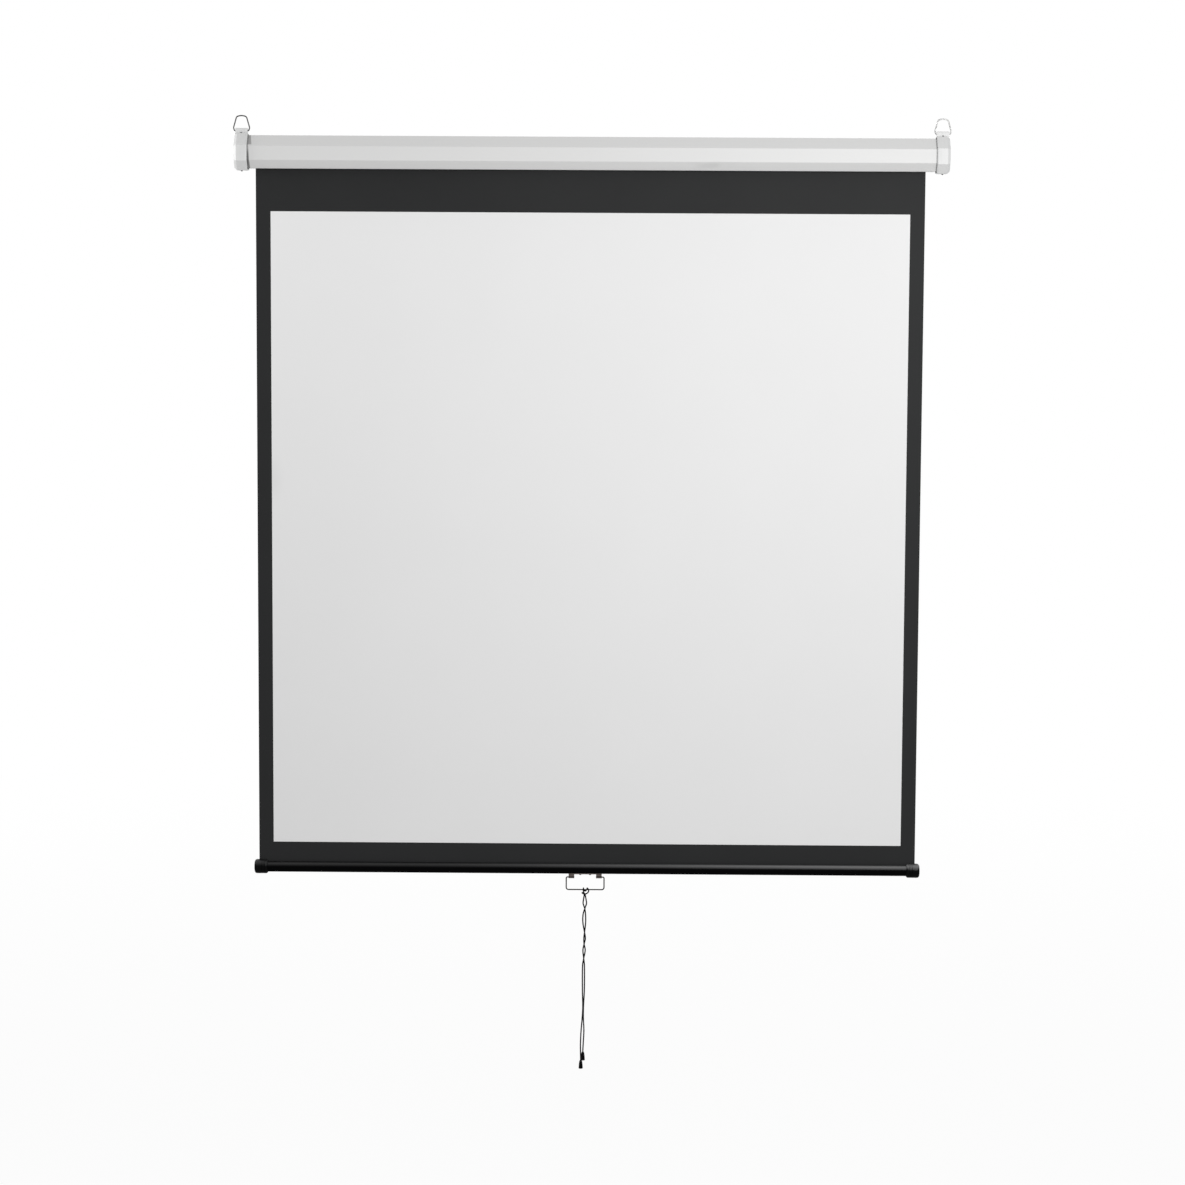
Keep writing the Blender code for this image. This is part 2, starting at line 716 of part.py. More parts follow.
def make_ring(side, name, surface):
    """A wire ring, drawn from its pivot axis in the cap's lug."""
    pivot = axis_empty(f"ring_{name}_axis", (side * CAP_MIDDLE, 0, PIVOT_Z))
    return tube(f"d_ring_{name}", ring_path(), RING_WIRE / 2, surface, pivot.location, pivot)


def make_bearing_plate(side, name, surface, opening):
    """A steel plate with a screw tab at top and bottom, in the hollow of an end cap."""
    outset = BORE_OUTSET - PLATE_PLAY
    corners = case_corners(outset)
    web = prism(corners, side * PLATE_INNER, side * PLATE_OUTER)
    plate = from_bmesh(f"bearing_plate_{name}", web, surface, smooth=False)
    middle = side * CAP_MIDDLE
    tab_end = side * (CAP_MIDDLE + TAB_BEYOND_SCREW)
    ends = sorted((side * PLATE_INNER, tab_end))
    for seat, y, height, up in screw_seats():
        flat = (CASE_TOP if up > 0 else CASE_BOTTOM) + up * outset
        low, high = sorted((flat, flat - up * PLATE_THICKNESS))
        tab = cutter(f"tab_{seat}_{name}", box((ends[0], -TAB_HALF, low), (ends[1], TAB_HALF, high)))
        combine(plate, tab, "UNION")
        hole_radius = SCREW_RADIUS + GAP
        low, high = sorted((height, flat - up * 2 * PLATE_THICKNESS))
        profile = ((low, 0), (low, hole_radius), (high, hole_radius), (high, 0))
        hole = cutter(f"tab_hole_{seat}_{name}", turned_z(profile, 12), (middle, y, 0))
        combine(plate, hole, "DIFFERENCE")
    return combine(plate, opening, "DIFFERENCE")


def make_cap_screws(side, name, surface):
    """The two screws that draw a bearing plate against its cap."""
    for seat, y, height, up in screw_seats():
        reach = CAP_PROUD - BORE_OUTSET + PLATE_PLAY + PLATE_THICKNESS + SCREW_TIP
        profile = (
            (up * (GAP + SCREW_HEAD_HEIGHT), 0),
            (up * (GAP + SCREW_HEAD_HEIGHT), SCREW_HEAD_RADIUS * SCREW_CROWN_SHARE),
            (up * (GAP + SCREW_HEAD_HEIGHT / 2), SCREW_HEAD_RADIUS * SCREW_SHOULDER_SHARE),
            (up * GAP, SCREW_HEAD_RADIUS),
            (up * GAP, SCREW_RADIUS),
            (-up * (reach - SCREW_TIP / 2), SCREW_RADIUS),
            (-up * reach, SCREW_RADIUS * SCREW_POINT_SHARE),
            (-up * reach, 0),
        )
        screw = turned_z(profile, 16)
        from_bmesh(f"cap_screw_{seat}_{name}", screw, surface, (side * CAP_MIDDLE, y, height))


def bore_cutter(name, radius, start, end, location):
    """A round cutter along X."""
    low, high = sorted((start, end))
    profile = ((low, 0), (low, radius), (high, radius), (high, 0))
    return cutter(name, turned_x(profile), location)


def make_roller(axis, tube_metal, plug_plastic, bright):
    """The roller tube with its two end plugs, the idle pin and the spring's live end."""
    at = axis.location
    shell = pipe_x(-ROLLER_HALF, ROLLER_HALF, ROLLER_BORE, ROLLER_RADIUS)
    from_bmesh("roller_tube", shell, tube_metal, at, axis)

    body = ROLLER_BORE - GAP
    body_end = ROLLER_HALF - PLUG_BODY_LENGTH
    profile = (
        (body_end, 0),
        (body_end, body - PLUG_LEAD),
        (body_end + PLUG_LEAD, body),
        (FLANGE_INNER, body),
        (FLANGE_INNER, ROLLER_RADIUS),
        (FLANGE_OUTER, ROLLER_RADIUS),
        (FLANGE_OUTER, 0),
    )
    idle = from_bmesh("idle_plug", turned_x(profile, 28), plug_plastic, at, axis)
    seat = FLANGE_OUTER - IDLE_PIN_SEAT
    hole = bore_cutter("pin_seat", IDLE_PIN_RADIUS + GAP, seat, FLANGE_OUTER + PLUG_LEAD, at)
    combine(idle, hole, "DIFFERENCE")
    pin_end = PLATE_OUTER + PIN_BEYOND_PLATE - FABRIC_SHIFT
    pin_profile = (
        (seat + GAP, 0),
        (seat + GAP, IDLE_PIN_RADIUS),
        (pin_end - PLUG_LEAD, IDLE_PIN_RADIUS),
        (pin_end, IDLE_PIN_RADIUS - PLUG_LEAD),
        (pin_end, 0),
    )
    from_bmesh("idle_pin", turned_x(pin_profile), bright, at, axis)

    mirrored = tuple((-x, radius) for x, radius in profile)
    lock = from_bmesh("lock_plug", turned_x(mirrored, 28), plug_plastic, at, axis)
    ends = (-body_end + PLUG_LEAD, -FLANGE_OUTER - PLUG_LEAD)
    hole = bore_cutter("axle_hole", AXLE_RADIUS + RUN_PLAY, *ends, at)
    for half_turn in (1, -1):
        y, z = half_turn * PAWL_PIVOT_Y, half_turn * PAWL_PIVOT_Z
        pin_at = at + Vector((0, y, z))
        pin = bore_cutter(f"pawl_pin_{half_turn}", PAWL_PIN_RADIUS, -FLANGE_INNER, -RATCHET_OUTER, pin_at)
        combine(lock, pin, "UNION")
    combine(lock, hole, "DIFFERENCE")

    start = -ANCHOR_START
    anchor_profile = (
        (start, 0),
        (start, body - PLUG_LEAD),
        (start + PLUG_LEAD, body),
        (start + ANCHOR_LENGTH - PLUG_LEAD, body),
        (start + ANCHOR_LENGTH, body - PLUG_LEAD),
        (start + ANCHOR_LENGTH, 0),
    )
    anchor = from_bmesh("spring_anchor", turned_x(anchor_profile), plug_plastic, at, axis)
    hole_ends = (start - PLUG_LEAD, start + ANCHOR_LENGTH + PLUG_LEAD)
    combine(anchor, bore_cutter("anchor_hole", AXLE_RADIUS + RUN_PLAY, *hole_ends, at), "DIFFERENCE")


def make_wraps(axis, surface):
    """The turns of fabric that stay on the roller, ending where the drop leaves its back."""
    steps = 24 * WRAPS
    path = []
    for k in range(steps + 1):
        angle = math.tau * WRAPS * k / steps
        radius = WRAP_OUTER - WRAP_PITCH * angle / math.tau
        path.append(Vector((radius * math.cos(angle), radius * math.sin(angle))))
    spiral = prism(ribbon(path, FABRIC_THICKNESS), -FABRIC_HALF, FABRIC_HALF)
    from_bmesh("fabric_wraps", spiral, surface, axis.location, axis)


def make_axle(surface):
    """The fixed axle: a flat tongue for the plate's slot, the ratchet and the spring's dead end."""
    at = ROLLER_AT
    tip = PLATE_OUTER + PIN_BEYOND_PLATE + FABRIC_SHIFT
    shoulder = PLATE_INNER - AXLE_TO_PLATE + FABRIC_SHIFT
    inner_end = ANCHOR_START - AXLE_IN_ANCHOR
    profile = (
        (-inner_end, 0),
        (-inner_end, AXLE_RADIUS),
        (-COLLAR_INNER, AXLE_RADIUS),
        (-COLLAR_INNER, COLLAR_RADIUS),
        (-COLLAR_OUTER, COLLAR_RADIUS),
        (-COLLAR_OUTER, AXLE_RADIUS),
        (-RATCHET_INNER, AXLE_RADIUS),
        (-RATCHET_INNER, RATCHET_RADIUS),
        (-RATCHET_OUTER, RATCHET_RADIUS),
        (-RATCHET_OUTER, AXLE_RADIUS),
        (-shoulder, AXLE_RADIUS),
        (-shoulder, 0),
    )
    axle = from_bmesh("spear_axle", turned_x(profile), surface, at)
    half_y, half_z = TONGUE_THICKNESS / 2, TONGUE_HEIGHT / 2
    tongue = box((-tip, -half_y, -half_z), (-shoulder + PLATE_THICKNESS, half_y, half_z))
    combine(axle, cutter("axle_tongue", tongue, at), "UNION")
    for half_turn in (1, -1):
        low = RATCHET_RADIUS - NOTCH_DEPTH
        sides = sorted((half_turn * low, half_turn * (RATCHET_RADIUS + NOTCH_DEPTH)))
        centre = half_turn * NOTCH_CENTRE
        corner_a = (-RATCHET_OUTER - GAP, centre - NOTCH_WIDTH / 2, sides[0])
        corner_b = (-RATCHET_INNER + GAP, centre + NOTCH_WIDTH / 2, sides[1])
        combine(axle, cutter(f"notch_{half_turn}", box(corner_a, corner_b), at), "DIFFERENCE")


def make_pawl(half_turn, name, axis, surface):
    """A pawl on its pin: an eye, a short arm and a tooth that drops into the ratchet's notch."""
    offset = Vector((0, half_turn * PAWL_PIVOT_Y, half_turn * PAWL_PIVOT_Z))
    pivot = axis_empty(f"pawl_{name}_axis", world_place(axis) + offset, axis)
    world = world_place(pivot)
    reach_y = PAWL_TOOTH_Y - PAWL_PIVOT_Y
    reach_z = PAWL_TOOTH_Z - PAWL_PIVOT_Z
    half = PAWL_TOOTH_WIDTH / 2
    eye = arc((0, 0), PAWL_EYE_RADIUS, math.radians(70), math.radians(290), 12)
    tip = [
        Vector((reach_y - 2 * half, -PAWL_ARM / 2)),
        Vector((reach_y - half / 2, reach_z)),
        Vector((reach_y + half, reach_z)),
        Vector((reach_y + 2 * half, PAWL_ARM / 2)),
    ]
    outline = [(half_turn * p[0], half_turn * p[1]) for p in eye + tip]
    play = (RATCHET_THICKNESS - PAWL_THICKNESS) / 2
    start, end = -RATCHET_OUTER + play, -RATCHET_INNER - play
    pawl = from_bmesh(f"pawl_{name}", prism(outline, start, end), surface, world, pivot)
    hole = bore_cutter(f"pawl_eye_{name}", PAWL_PIN_RADIUS + GAP, start - GAP, end + GAP, world)
    return combine(pawl, hole, "DIFFERENCE")


def make_spring(surface):
    """The torsion spring around the axle, from its collar to the anchor in the tube."""
    inner = ANCHOR_START + GAP
    outer = COLLAR_INNER - GAP
    start, end = -outer, -inner
    per_turn = 8
    count = SPRING_TURNS * per_turn
    wound = (end - start) - 2 * SPRING_TAIL
    points = [(start, SPRING_RADIUS, 0)]
    for k in range(count + 1):
        angle = math.tau * k / per_turn
        x = start + SPRING_TAIL + wound * k / count
        points.append((x, SPRING_RADIUS * math.cos(angle), SPRING_RADIUS * math.sin(angle)))
    points.append((end, SPRING_RADIUS, 0))
    tube("torsion_spring", points, SPRING_WIRE / 2, surface, ROLLER_AT, None, 1)
    print("least gap between the spring's turns, mm:", round((wound / SPRING_TURNS - SPRING_WIRE) / MM, 2))


def make_bush(surface):
    """The flanged bush that the idle pin runs in."""
    bore = IDLE_PIN_RADIUS + RUN_PLAY
    body = bore + BUSH_WALL
    flange_inner = PLATE_INNER - GAP - BUSH_FLANGE_THICKNESS
    profile = (
        (flange_inner, 0),
        (flange_inner, body + BUSH_FLANGE),
        (PLATE_INNER - GAP, body + BUSH_FLANGE),
        (PLATE_INNER - GAP, body),
        (PLATE_OUTER + GAP, body),
        (PLATE_OUTER + GAP, 0),
    )
    at = (0, ROLLER_Y, ROLLER_Z)
    bush = from_bmesh("idle_bush", turned_x(profile), surface, at)
    ends = (flange_inner - GAP, PLATE_OUTER + 2 * GAP)
    return combine(bush, bore_cutter("bush_bore", bore, *ends, at), "DIFFERENCE")


def make_fabric(bar, black, white):
    """The black cloth that hangs from the roller's back, with the white picture layer on it."""
    half = FABRIC_THICKNESS / 2
    top = ROLLER_Z - GAP
    at = (FABRIC_SHIFT, FABRIC_Y, top)
    drop = box((-FABRIC_HALF, -half, HEM_TOP + GAP - top), (FABRIC_HALF, half, 0))
    from_bmesh("screen_fabric", drop, black, at, bar, smooth=False)
    front = -half - GAP
    picture = box(
        (-PICTURE_WIDTH / 2, front - PICTURE_THICKNESS, PICTURE_BOTTOM - top),
        (PICTURE_WIDTH / 2, front, PICTURE_TOP - top),
    )
    from_bmesh("viewing_surface", picture, white, at, bar, smooth=False)


def make_bar(bar, surface):
    """The tubular weight bar with the slit that its hem rod can't leave."""
    opening = math.asin(BAR_SLIT / 2 / BAR_RADIUS)
    middle = BAR_RADIUS - BAR_WALL / 2
    section = arc((0, 0), middle, math.pi / 2 + opening, math.tau + math.pi / 2 - opening, 44)
    shell = prism(ribbon(section, BAR_WALL), -BAR_HALF, BAR_HALF)
    body = from_bmesh("weight_bar", shell, surface, bar.location, bar)
    for side in (-1, 1):
        profile_radius = RIVET_RADIUS + GAP
        low, high = -BAR_RADIUS - BAR_WALL, -BAR_RADIUS + 2 * BAR_WALL
        profile = ((low, 0), (low, profile_radius), (high, profile_radius), (high, 0))
        at = bar.location + Vector((HANDLE_SHIFT + side * RIVET_SPREAD, 0, 0))
        combine(body, cutter(f"bar_rivet_hole_{side}", turned_z(profile, 12), at), "DIFFERENCE")


def make_hem(bar, cloth, rod_metal):
    """The folded hem around its rod, hooked under the slit's edges."""
    end = BAR_HALF - HEM_FROM_BAR_END
    profile = ((-end, 0), (-end, HEM_ROD_RADIUS), (end, HEM_ROD_RADIUS), (end, 0))
    rod_at = bar.location + Vector((0, 0, HEM_ROD_RISE))
    from_bmesh("hem_rod", turned_x(profile, 20), rod_metal, rod_at, bar)
    loop_radius = HEM_ROD_RADIUS + GAP + FABRIC_THICKNESS / 2
    spread = (FABRIC_THICKNESS + HEM_NECK_PLAY) / 2
    open_angle = math.asin(spread / loop_radius)
    neck_top = HEM_NECK_RISE - HEM_ROD_RISE
    loop = arc((0, 0), loop_radius, math.pi / 2 + open_angle, math.tau + math.pi / 2 - open_angle, 20)
    path = [Vector((-spread, neck_top)), *loop, Vector((spread, neck_top))]
    sleeve = prism(ribbon(path, FABRIC_THICKNESS), -end, end)
    from_bmesh("hem_sleeve", sleeve, cloth, rod_at, bar)


def bar_cap_profile():
    """(distance from the middle, radius) of a weight bar cap, from its socket outward."""
    socket = BAR_RADIUS + GAP
    core_end = BAR_CAP_OUTER - BAR_CAP_END_WALL
    dome_start = BAR_CAP_OUTER - BAR_CAP_DOME
    outside = [
        (BAR_CAP_INNER, socket + BAR_CAP_LIP),
        (BAR_CAP_INNER + BAR_CAP_TAPER, BAR_CAP_RADIUS),
    ]
    for k in range(BAR_CAP_GROOVES):
        x = BAR_CAP_INNER + BAR_CAP_TAPER + (k + 1) * BAR_CAP_GROOVE_PITCH
        outside += [
            (x - BAR_CAP_GROOVE, BAR_CAP_RADIUS),
            (x, BAR_CAP_RADIUS - BAR_CAP_GROOVE),
            (x + BAR_CAP_GROOVE, BAR_CAP_RADIUS),
        ]
    drop = BAR_CAP_RADIUS - BAR_CAP_END_RADIUS
    steps = 4
    for k in range(steps + 1):
        turn = math.pi / 2 * k / steps
        x = dome_start + BAR_CAP_DOME * math.sin(turn)
        outside.append((x, BAR_CAP_END_RADIUS + drop * math.cos(turn)))
    hollow = [(core_end, 0), (core_end, BAR_CAP_CORE), (BAR_SOCKET_END, BAR_CAP_CORE)]
    hollow += [(BAR_SOCKET_END, socket), (BAR_CAP_INNER, socket)]
    return [*hollow, *outside, (BAR_CAP_OUTER, 0)]


def make_bar_cap(side, name, bar, surface):
    """A moulded cap on the bar's end, slotted from above for the edge of the fabric."""
    profile = [(side * x, radius) for x, radius in bar_cap_profile()]
    cap = from_bmesh(f"bar_cap_{name}", turned_x(profile, 30), surface, bar.location, bar)
    ends = sorted((side * (BAR_CAP_INNER - GAP), side * (FABRIC_HALF + FABRIC_IN_CAP)))
    half = BAR_SLIT / 2
    slot = box((ends[0], -half, BAR_CAP_CORE / 2), (ends[1], half, 2 * BAR_CAP_RADIUS))
    return combine(cap, cutter(f"cap_slot_{name}", slot, bar.location), "DIFFERENCE")


def make_bracket(bar, surface):
    """A saddle that fits the bar's underside, with a curled knuckle at each end."""
    at = bar.location + Vector((HANDLE_SHIFT, 0, 0))
    down = -math.pi / 2
    middle = SADDLE_INNER + SADDLE_THICKNESS / 2
    section = arc((0, 0), middle, down - SADDLE_ARC, down + SADDLE_ARC, 13)
    shell = prism(ribbon(section, SADDLE_THICKNESS), -SADDLE_HALF, SADDLE_HALF)
    saddle = from_bmesh("handle_bracket", shell, surface, at, bar)
    bore = BAIL_WIRE / 2 + GAP
    outer = bore + KNUCKLE_WALL
    pivot = BAIL_PIVOT_Z - BAR_Z
    for side in (-1, 1):
        ends = sorted((side * SADDLE_HALF, side * (SADDLE_HALF - KNUCKLE_LENGTH)))
        knuckle_at = at + Vector((0, 0, pivot))
        profile = ((ends[0], 0), (ends[0], outer), (ends[1], outer), (ends[1], 0))
        knuckle = cutter(f"knuckle_{side}", turned_x(profile, 20), knuckle_at)
        half = KNUCKLE_WEB / 2
        web_top = -pivot - SADDLE_OUTER + SADDLE_THICKNESS / 2
        web = box((ends[0] + GAP, -half, outer - KNUCKLE_WALL / 2), (ends[1] - GAP, half, web_top))
        combine(saddle, cutter(f"knuckle_web_{side}", web, knuckle_at), "UNION")
        combine(saddle, knuckle, "UNION")
        hole = bore_cutter(f"knuckle_bore_{side}", bore, ends[0] - GAP, ends[1] + GAP, knuckle_at)
        combine(saddle, hole, "DIFFERENCE")
        low, high = -SADDLE_OUTER - SADDLE_THICKNESS, -SADDLE_INNER + SADDLE_THICKNESS
        radius = RIVET_RADIUS + GAP
        profile = ((low, 0), (low, radius), (high, radius), (high, 0))
        rivet_at = at + Vector((side * RIVET_SPREAD, 0, 0))
        combine(saddle, cutter(f"saddle_rivet_hole_{side}", turned_z(profile, 12), rivet_at), "DIFFERENCE")


def make_rivet(side, name, bar, surface):
    """A rivet through the saddle and the bar's wall."""
    under = -SADDLE_OUTER - GAP
    over = -BAR_RADIUS + BAR_WALL + 2 * GAP
    profile = (
        (under - RIVET_HEAD_HEIGHT, 0),
        (under - RIVET_HEAD_HEIGHT, RIVET_HEAD_RADIUS / 2),
        (under - RIVET_HEAD_HEIGHT / 2, RIVET_HEAD_RADIUS * RIVET_SHOULDER_SHARE),
        (under, RIVET_HEAD_RADIUS),
        (under, RIVET_RADIUS),
        (over, RIVET_RADIUS),
        (over, RIVET_HEAD_RADIUS * RIVET_FOOT_SHARE),
        (over + RIVET_HEAD_HEIGHT / 2, RIVET_HEAD_RADIUS * RIVET_FOOT_SHARE),
        (over + RIVET_HEAD_HEIGHT / 2, 0),
    )
    at = bar.location + Vector((HANDLE_SHIFT + side * RIVET_SPREAD, 0, 0))
    from_bmesh(f"bracket_rivet_{name}", turned_z(profile, 16), surface, at, bar)


def make_bail(handle, surface):
    """The wire bail, drawn from its pivot line in the bracket's knuckles."""
    stub_end = BAIL_HALF - BAIL_STUB
    stops = [
        (-stub_end, 0, 0),
        (-BAIL_HALF, 0, BAIL_TOP_RADIUS),
        (-BAIL_HALF, -BAIL_LEG, BAIL_BOTTOM_RADIUS),
        (BAIL_HALF, -BAIL_LEG, BAIL_BOTTOM_RADIUS),
        (BAIL_HALF, 0, BAIL_TOP_RADIUS),
        (stub_end, 0, 0),
    ]
    corners = [(x, 0, z) for x, z, _ in stops]
    path = rounded(corners, [radius for _, _, radius in stops], steps=5)
    return tube("handle_bail", path, BAIL_WIRE / 2, surface, world_place(handle), handle)


def make_cord(cord, black, plastic):
    """The hitch over the wire, the two strands below it and a bell on each strand's end."""
    at = world_place(cord)
    hitch = smooth_route(HITCH_ROUTE, HITCH_SPACING)
    short = smooth_route(SHORT_ROUTE, CORD_SPACING)
    long = smooth_route(LONG_ROUTE, CORD_SPACING)
    for name, points in (("cord_hitch", hitch), ("cord_strand_short", short), ("cord_strand_long", long)):
        tube(name, points, CORD_RADIUS, black, at, cord)
    for name, points in (("bell_short", short), ("bell_long", long)):
        foot = points[-1] + Vector((0, 0, CORD_IN_BELL - BELL_HEIGHT))
        from_bmesh(name, bell(), plastic, at + foot, cord)
    own = least_gap(hitch, hitch, 3, CORD_RADIUS) / MM
    fine = [smooth_route(route, HITCH_SPACING) for route in (SHORT_ROUTE, LONG_ROUTE)]
    between = least_gap(*fine, 0, CORD_RADIUS) / MM
    print("least gap of the hitch to itself, mm:", round(own, 2), "between the strands:", round(between, 2))


def bell():
    """A small moulded bell with a bore for the cord, opening into a hollow foot."""
    bore = CORD_RADIUS + GAP
    loops = (
        (BELL_HEIGHT, bore),
        (BELL_HEIGHT, BELL_NECK_RADIUS),
        (BELL_HEIGHT - BELL_SHOULDER_DROP / 2, (BELL_NECK_RADIUS + 2 * BELL_SHOULDER_RADIUS) / 3),
        (BELL_HEIGHT - BELL_SHOULDER_DROP, BELL_SHOULDER_RADIUS),
        (BELL_HEIGHT / 2, (BELL_SHOULDER_RADIUS + BELL_FOOT_RADIUS) / 2),
        (BELL_FOOT_EDGE, BELL_FOOT_RADIUS),
        (0, BELL_FOOT_RADIUS - BELL_FOOT_EDGE),
        (0, BELL_HOLLOW_RADIUS),
        (BELL_HOLLOW_DEPTH, BELL_HOLLOW_RADIUS),
        (BELL_HOLLOW_DEPTH + BELL_HOLLOW_RADIUS - bore, bore),
    )
    sides = 16
    mesh = bmesh.new()
    rows = []
    for z, radius in loops:
        rows.append([mesh.verts.new((radius * c, radius * s, z)) for c, s in circle(sides)])
    for row, following in zip(rows, rows[1:] + rows[:1]):
        for i in range(sides):
            j = (i + 1) % sides
            mesh.faces.new((row[i], row[j], following[j], following[i]))
    return mesh


def main():
    for obj in list(bpy.data.objects):
        bpy.data.objects.remove(obj, do_unlink=True)

    white_paint = material("white_painted_steel", (0.74, 0.74, 0.745), 0.38)
    white_plastic = material("white_plastic", (0.80, 0.80, 0.80), 0.42)
    zinc = material("zinc_plated_steel", (0.56, 0.56, 0.55), 0.35, 1.0)
    dark_wire = material("dark_wire", (0.10, 0.10, 0.10), 0.35, 1.0)
    ring_wire = material("ring_wire", (0.20, 0.20, 0.20), 0.32, 1.0)
    grey_plastic = material("grey_plastic", (0.30, 0.30, 0.31), 0.5)
    black_cloth = material("black_cloth", (0.012, 0.012, 0.013), 0.85)
    matt_white = material("matt_white_vinyl", (0.78, 0.79, 0.80), 0.9)
    black_gloss = material("black_gloss_paint", (0.010, 0.010, 0.011), 0.18)
    black_plastic = material("black_plastic", (0.012, 0.012, 0.012), 0.4)
    bracket_steel = material("bracket_steel", (0.36, 0.33, 0.31), 0.38, 1.0)
    spring_steel = material("spring_steel", (0.35, 0.35, 0.36), 0.3, 1.0)
    black_cord = material("black_cord", (0.012, 0.012, 0.012), 0.8)

    make_case(white_paint)
    axle_line = (0, ROLLER_Y, ROLLER_Z)
    slot_y = TONGUE_THICKNESS / 2 + GAP
    slot_z = TONGUE_HEIGHT / 2 + GAP
    slot_ends = (-PLATE_OUTER - PLATE_THICKNESS, -PLATE_INNER + PLATE_THICKNESS)
    tongue_slot = box((slot_ends[0], -slot_y, -slot_z), (slot_ends[1], slot_y, slot_z))
    bush_hole = IDLE_PIN_RADIUS + RUN_PLAY + BUSH_WALL + GAP
    openings = {
        "left": cutter("tongue_slot", tongue_slot, axle_line),
        "right": bore_cutter(
            "bush_hole", bush_hole, PLATE_INNER - PLATE_THICKNESS, PLATE_OUTER + PLATE_THICKNESS, axle_line
        ),
    }
    for side, name in ((-1, "left"), (1, "right")):
        make_end_cap(side, name, white_plastic)
        make_bearing_plate(side, name, zinc, openings[name])
        make_cap_screws(side, name, zinc)
        make_ring(side, name, ring_wire)

    roller = axis_empty("roller_axis", ROLLER_AT)
    make_roller(roller, zinc, grey_plastic, zinc)
    make_wraps(roller, black_cloth)
    make_axle(zinc)
    for half_turn, name in ((1, "upper"), (-1, "lower")):
        make_pawl(half_turn, name, roller, zinc)
    make_spring(spring_steel)
    make_bush(grey_plastic)

    bar = axis_empty("bar_slide", BAR_AT)
    make_fabric(bar, black_cloth, matt_white)
    make_bar(bar, black_gloss)
    make_hem(bar, black_cloth, zinc)
    make_bracket(bar, bracket_steel)
    for side, name in ((-1, "left"), (1, "right")):
        make_bar_cap(side, name, bar, black_plastic)
        make_rivet(side, name, bar, bracket_steel)
    handle = axis_empty("handle_axis", (HANDLE_X, BAR_Y, BAIL_PIVOT_Z), bar)
    make_bail(handle, dark_wire)
    cord = axis_empty("cord_axis", (HANDLE_X, BAR_Y, BAIL_WIRE_Z), handle)
    make_cord(cord, black_cord, black_plastic)


main()
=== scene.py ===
"""Surfaces, cloth, cord, light and camera of a wall-hung projector screen.

Metres, +Z up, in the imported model's own frame: the viewer stands at -Y and X runs to the viewer's
right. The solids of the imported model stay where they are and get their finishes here. The screen
cloth, the roll, the hem and the pull cord are made anew, at their real fineness.
"""

import json
import math

import bmesh
import bpy
from bpy.props import FloatProperty, FloatVectorProperty, IntProperty, PointerProperty
from bpy.types import Operator, Panel, PropertyGroup
from mathutils import Matrix, Vector, noise


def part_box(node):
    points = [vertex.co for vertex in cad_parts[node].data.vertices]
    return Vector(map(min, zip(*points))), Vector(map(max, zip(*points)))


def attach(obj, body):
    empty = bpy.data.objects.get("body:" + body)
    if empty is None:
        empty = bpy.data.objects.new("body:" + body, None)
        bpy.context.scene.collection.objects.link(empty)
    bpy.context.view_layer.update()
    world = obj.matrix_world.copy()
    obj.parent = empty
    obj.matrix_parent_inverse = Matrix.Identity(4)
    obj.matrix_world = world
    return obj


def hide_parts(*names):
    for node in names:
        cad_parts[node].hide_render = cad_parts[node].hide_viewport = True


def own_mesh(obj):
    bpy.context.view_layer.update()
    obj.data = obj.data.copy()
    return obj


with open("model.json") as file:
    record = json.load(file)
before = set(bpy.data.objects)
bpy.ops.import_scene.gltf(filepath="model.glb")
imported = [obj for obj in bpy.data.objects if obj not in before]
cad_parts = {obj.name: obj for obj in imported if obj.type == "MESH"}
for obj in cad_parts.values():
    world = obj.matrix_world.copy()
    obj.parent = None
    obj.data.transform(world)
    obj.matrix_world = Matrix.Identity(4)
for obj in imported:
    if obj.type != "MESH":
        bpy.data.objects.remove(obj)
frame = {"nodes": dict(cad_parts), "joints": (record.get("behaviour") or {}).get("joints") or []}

bl_info = {
    "name": "Projector Screen",
    "version": (1, 0, 0),
    "blender": (4, 5, 0),
    "location": "3D View > Sidebar > Screen",
    "description": "Dresses a wall-hung projector screen: paint, cloth, cord, light and camera",
    "category": "Add Mesh",
}

MM = 0.001
WHITE = (1.0, 1.0, 1.0)

# The photograph's view: a square frame, seen from in front of and above the middle of the screen
CAMERA_DISTANCE = 8.0
CAMERA_X = 0.0832
CAMERA_Z = -0.2604
CAMERA_YAW = math.radians(-0.545)
CAMERA_PITCH = math.radians(6.217)
CAMERA_ROLL = math.radians(0.306)
CAMERA_LENS = 101.53
CAMERA_SENSOR = 36.0
CAMERA_REACH = 200.0

# The floor: its height, half its width and its colour. FLOOR_GLOW is the share of it that shows as plain
# white near the screen. Between two distances from the frame's origin, that share grows to the whole.
FLOOR_Z = -3.25
FLOOR_HALF = 400.0
FLOOR_COLOUR = (0.80, 0.80, 0.80)
FLOOR_ROUGHNESS = 0.9
FLOOR_GLOW = 0.94
FLOOR_FADE_START = 4.0
FLOOR_FADE_END = 11.0

# The lamps: where each one stands, the place that it is turned to, and its width and height
KEY_PLACE = (1.2, -3.0, -0.15)
KEY_AIM = (0.1, 0.0, 0.2)
KEY_SIZE = (1.2, 0.9)
SIDE_PLACE = (-1.65, -0.12, -0.05)
SIDE_AIM = (-0.85, 0.0, -0.06)
SIDE_SIZE = (0.3, 0.3)

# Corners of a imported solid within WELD_REACH of each other are joined, and edges that turn by more than
# BROKEN_ANGLE are rounded in BROKEN_STEPS. The bracket and the bells have finer edges than the rest.
WELD_REACH = 0.01 * MM
BROKEN_ANGLE = math.radians(35)
BROKEN_STEPS = 2
BRACKET_EDGE = 0.15 * MM
BELL_EDGE = 0.1 * MM

# Edges of the pieces made here stay hard where they turn by more than this
HARD_ANGLE = math.radians(40)

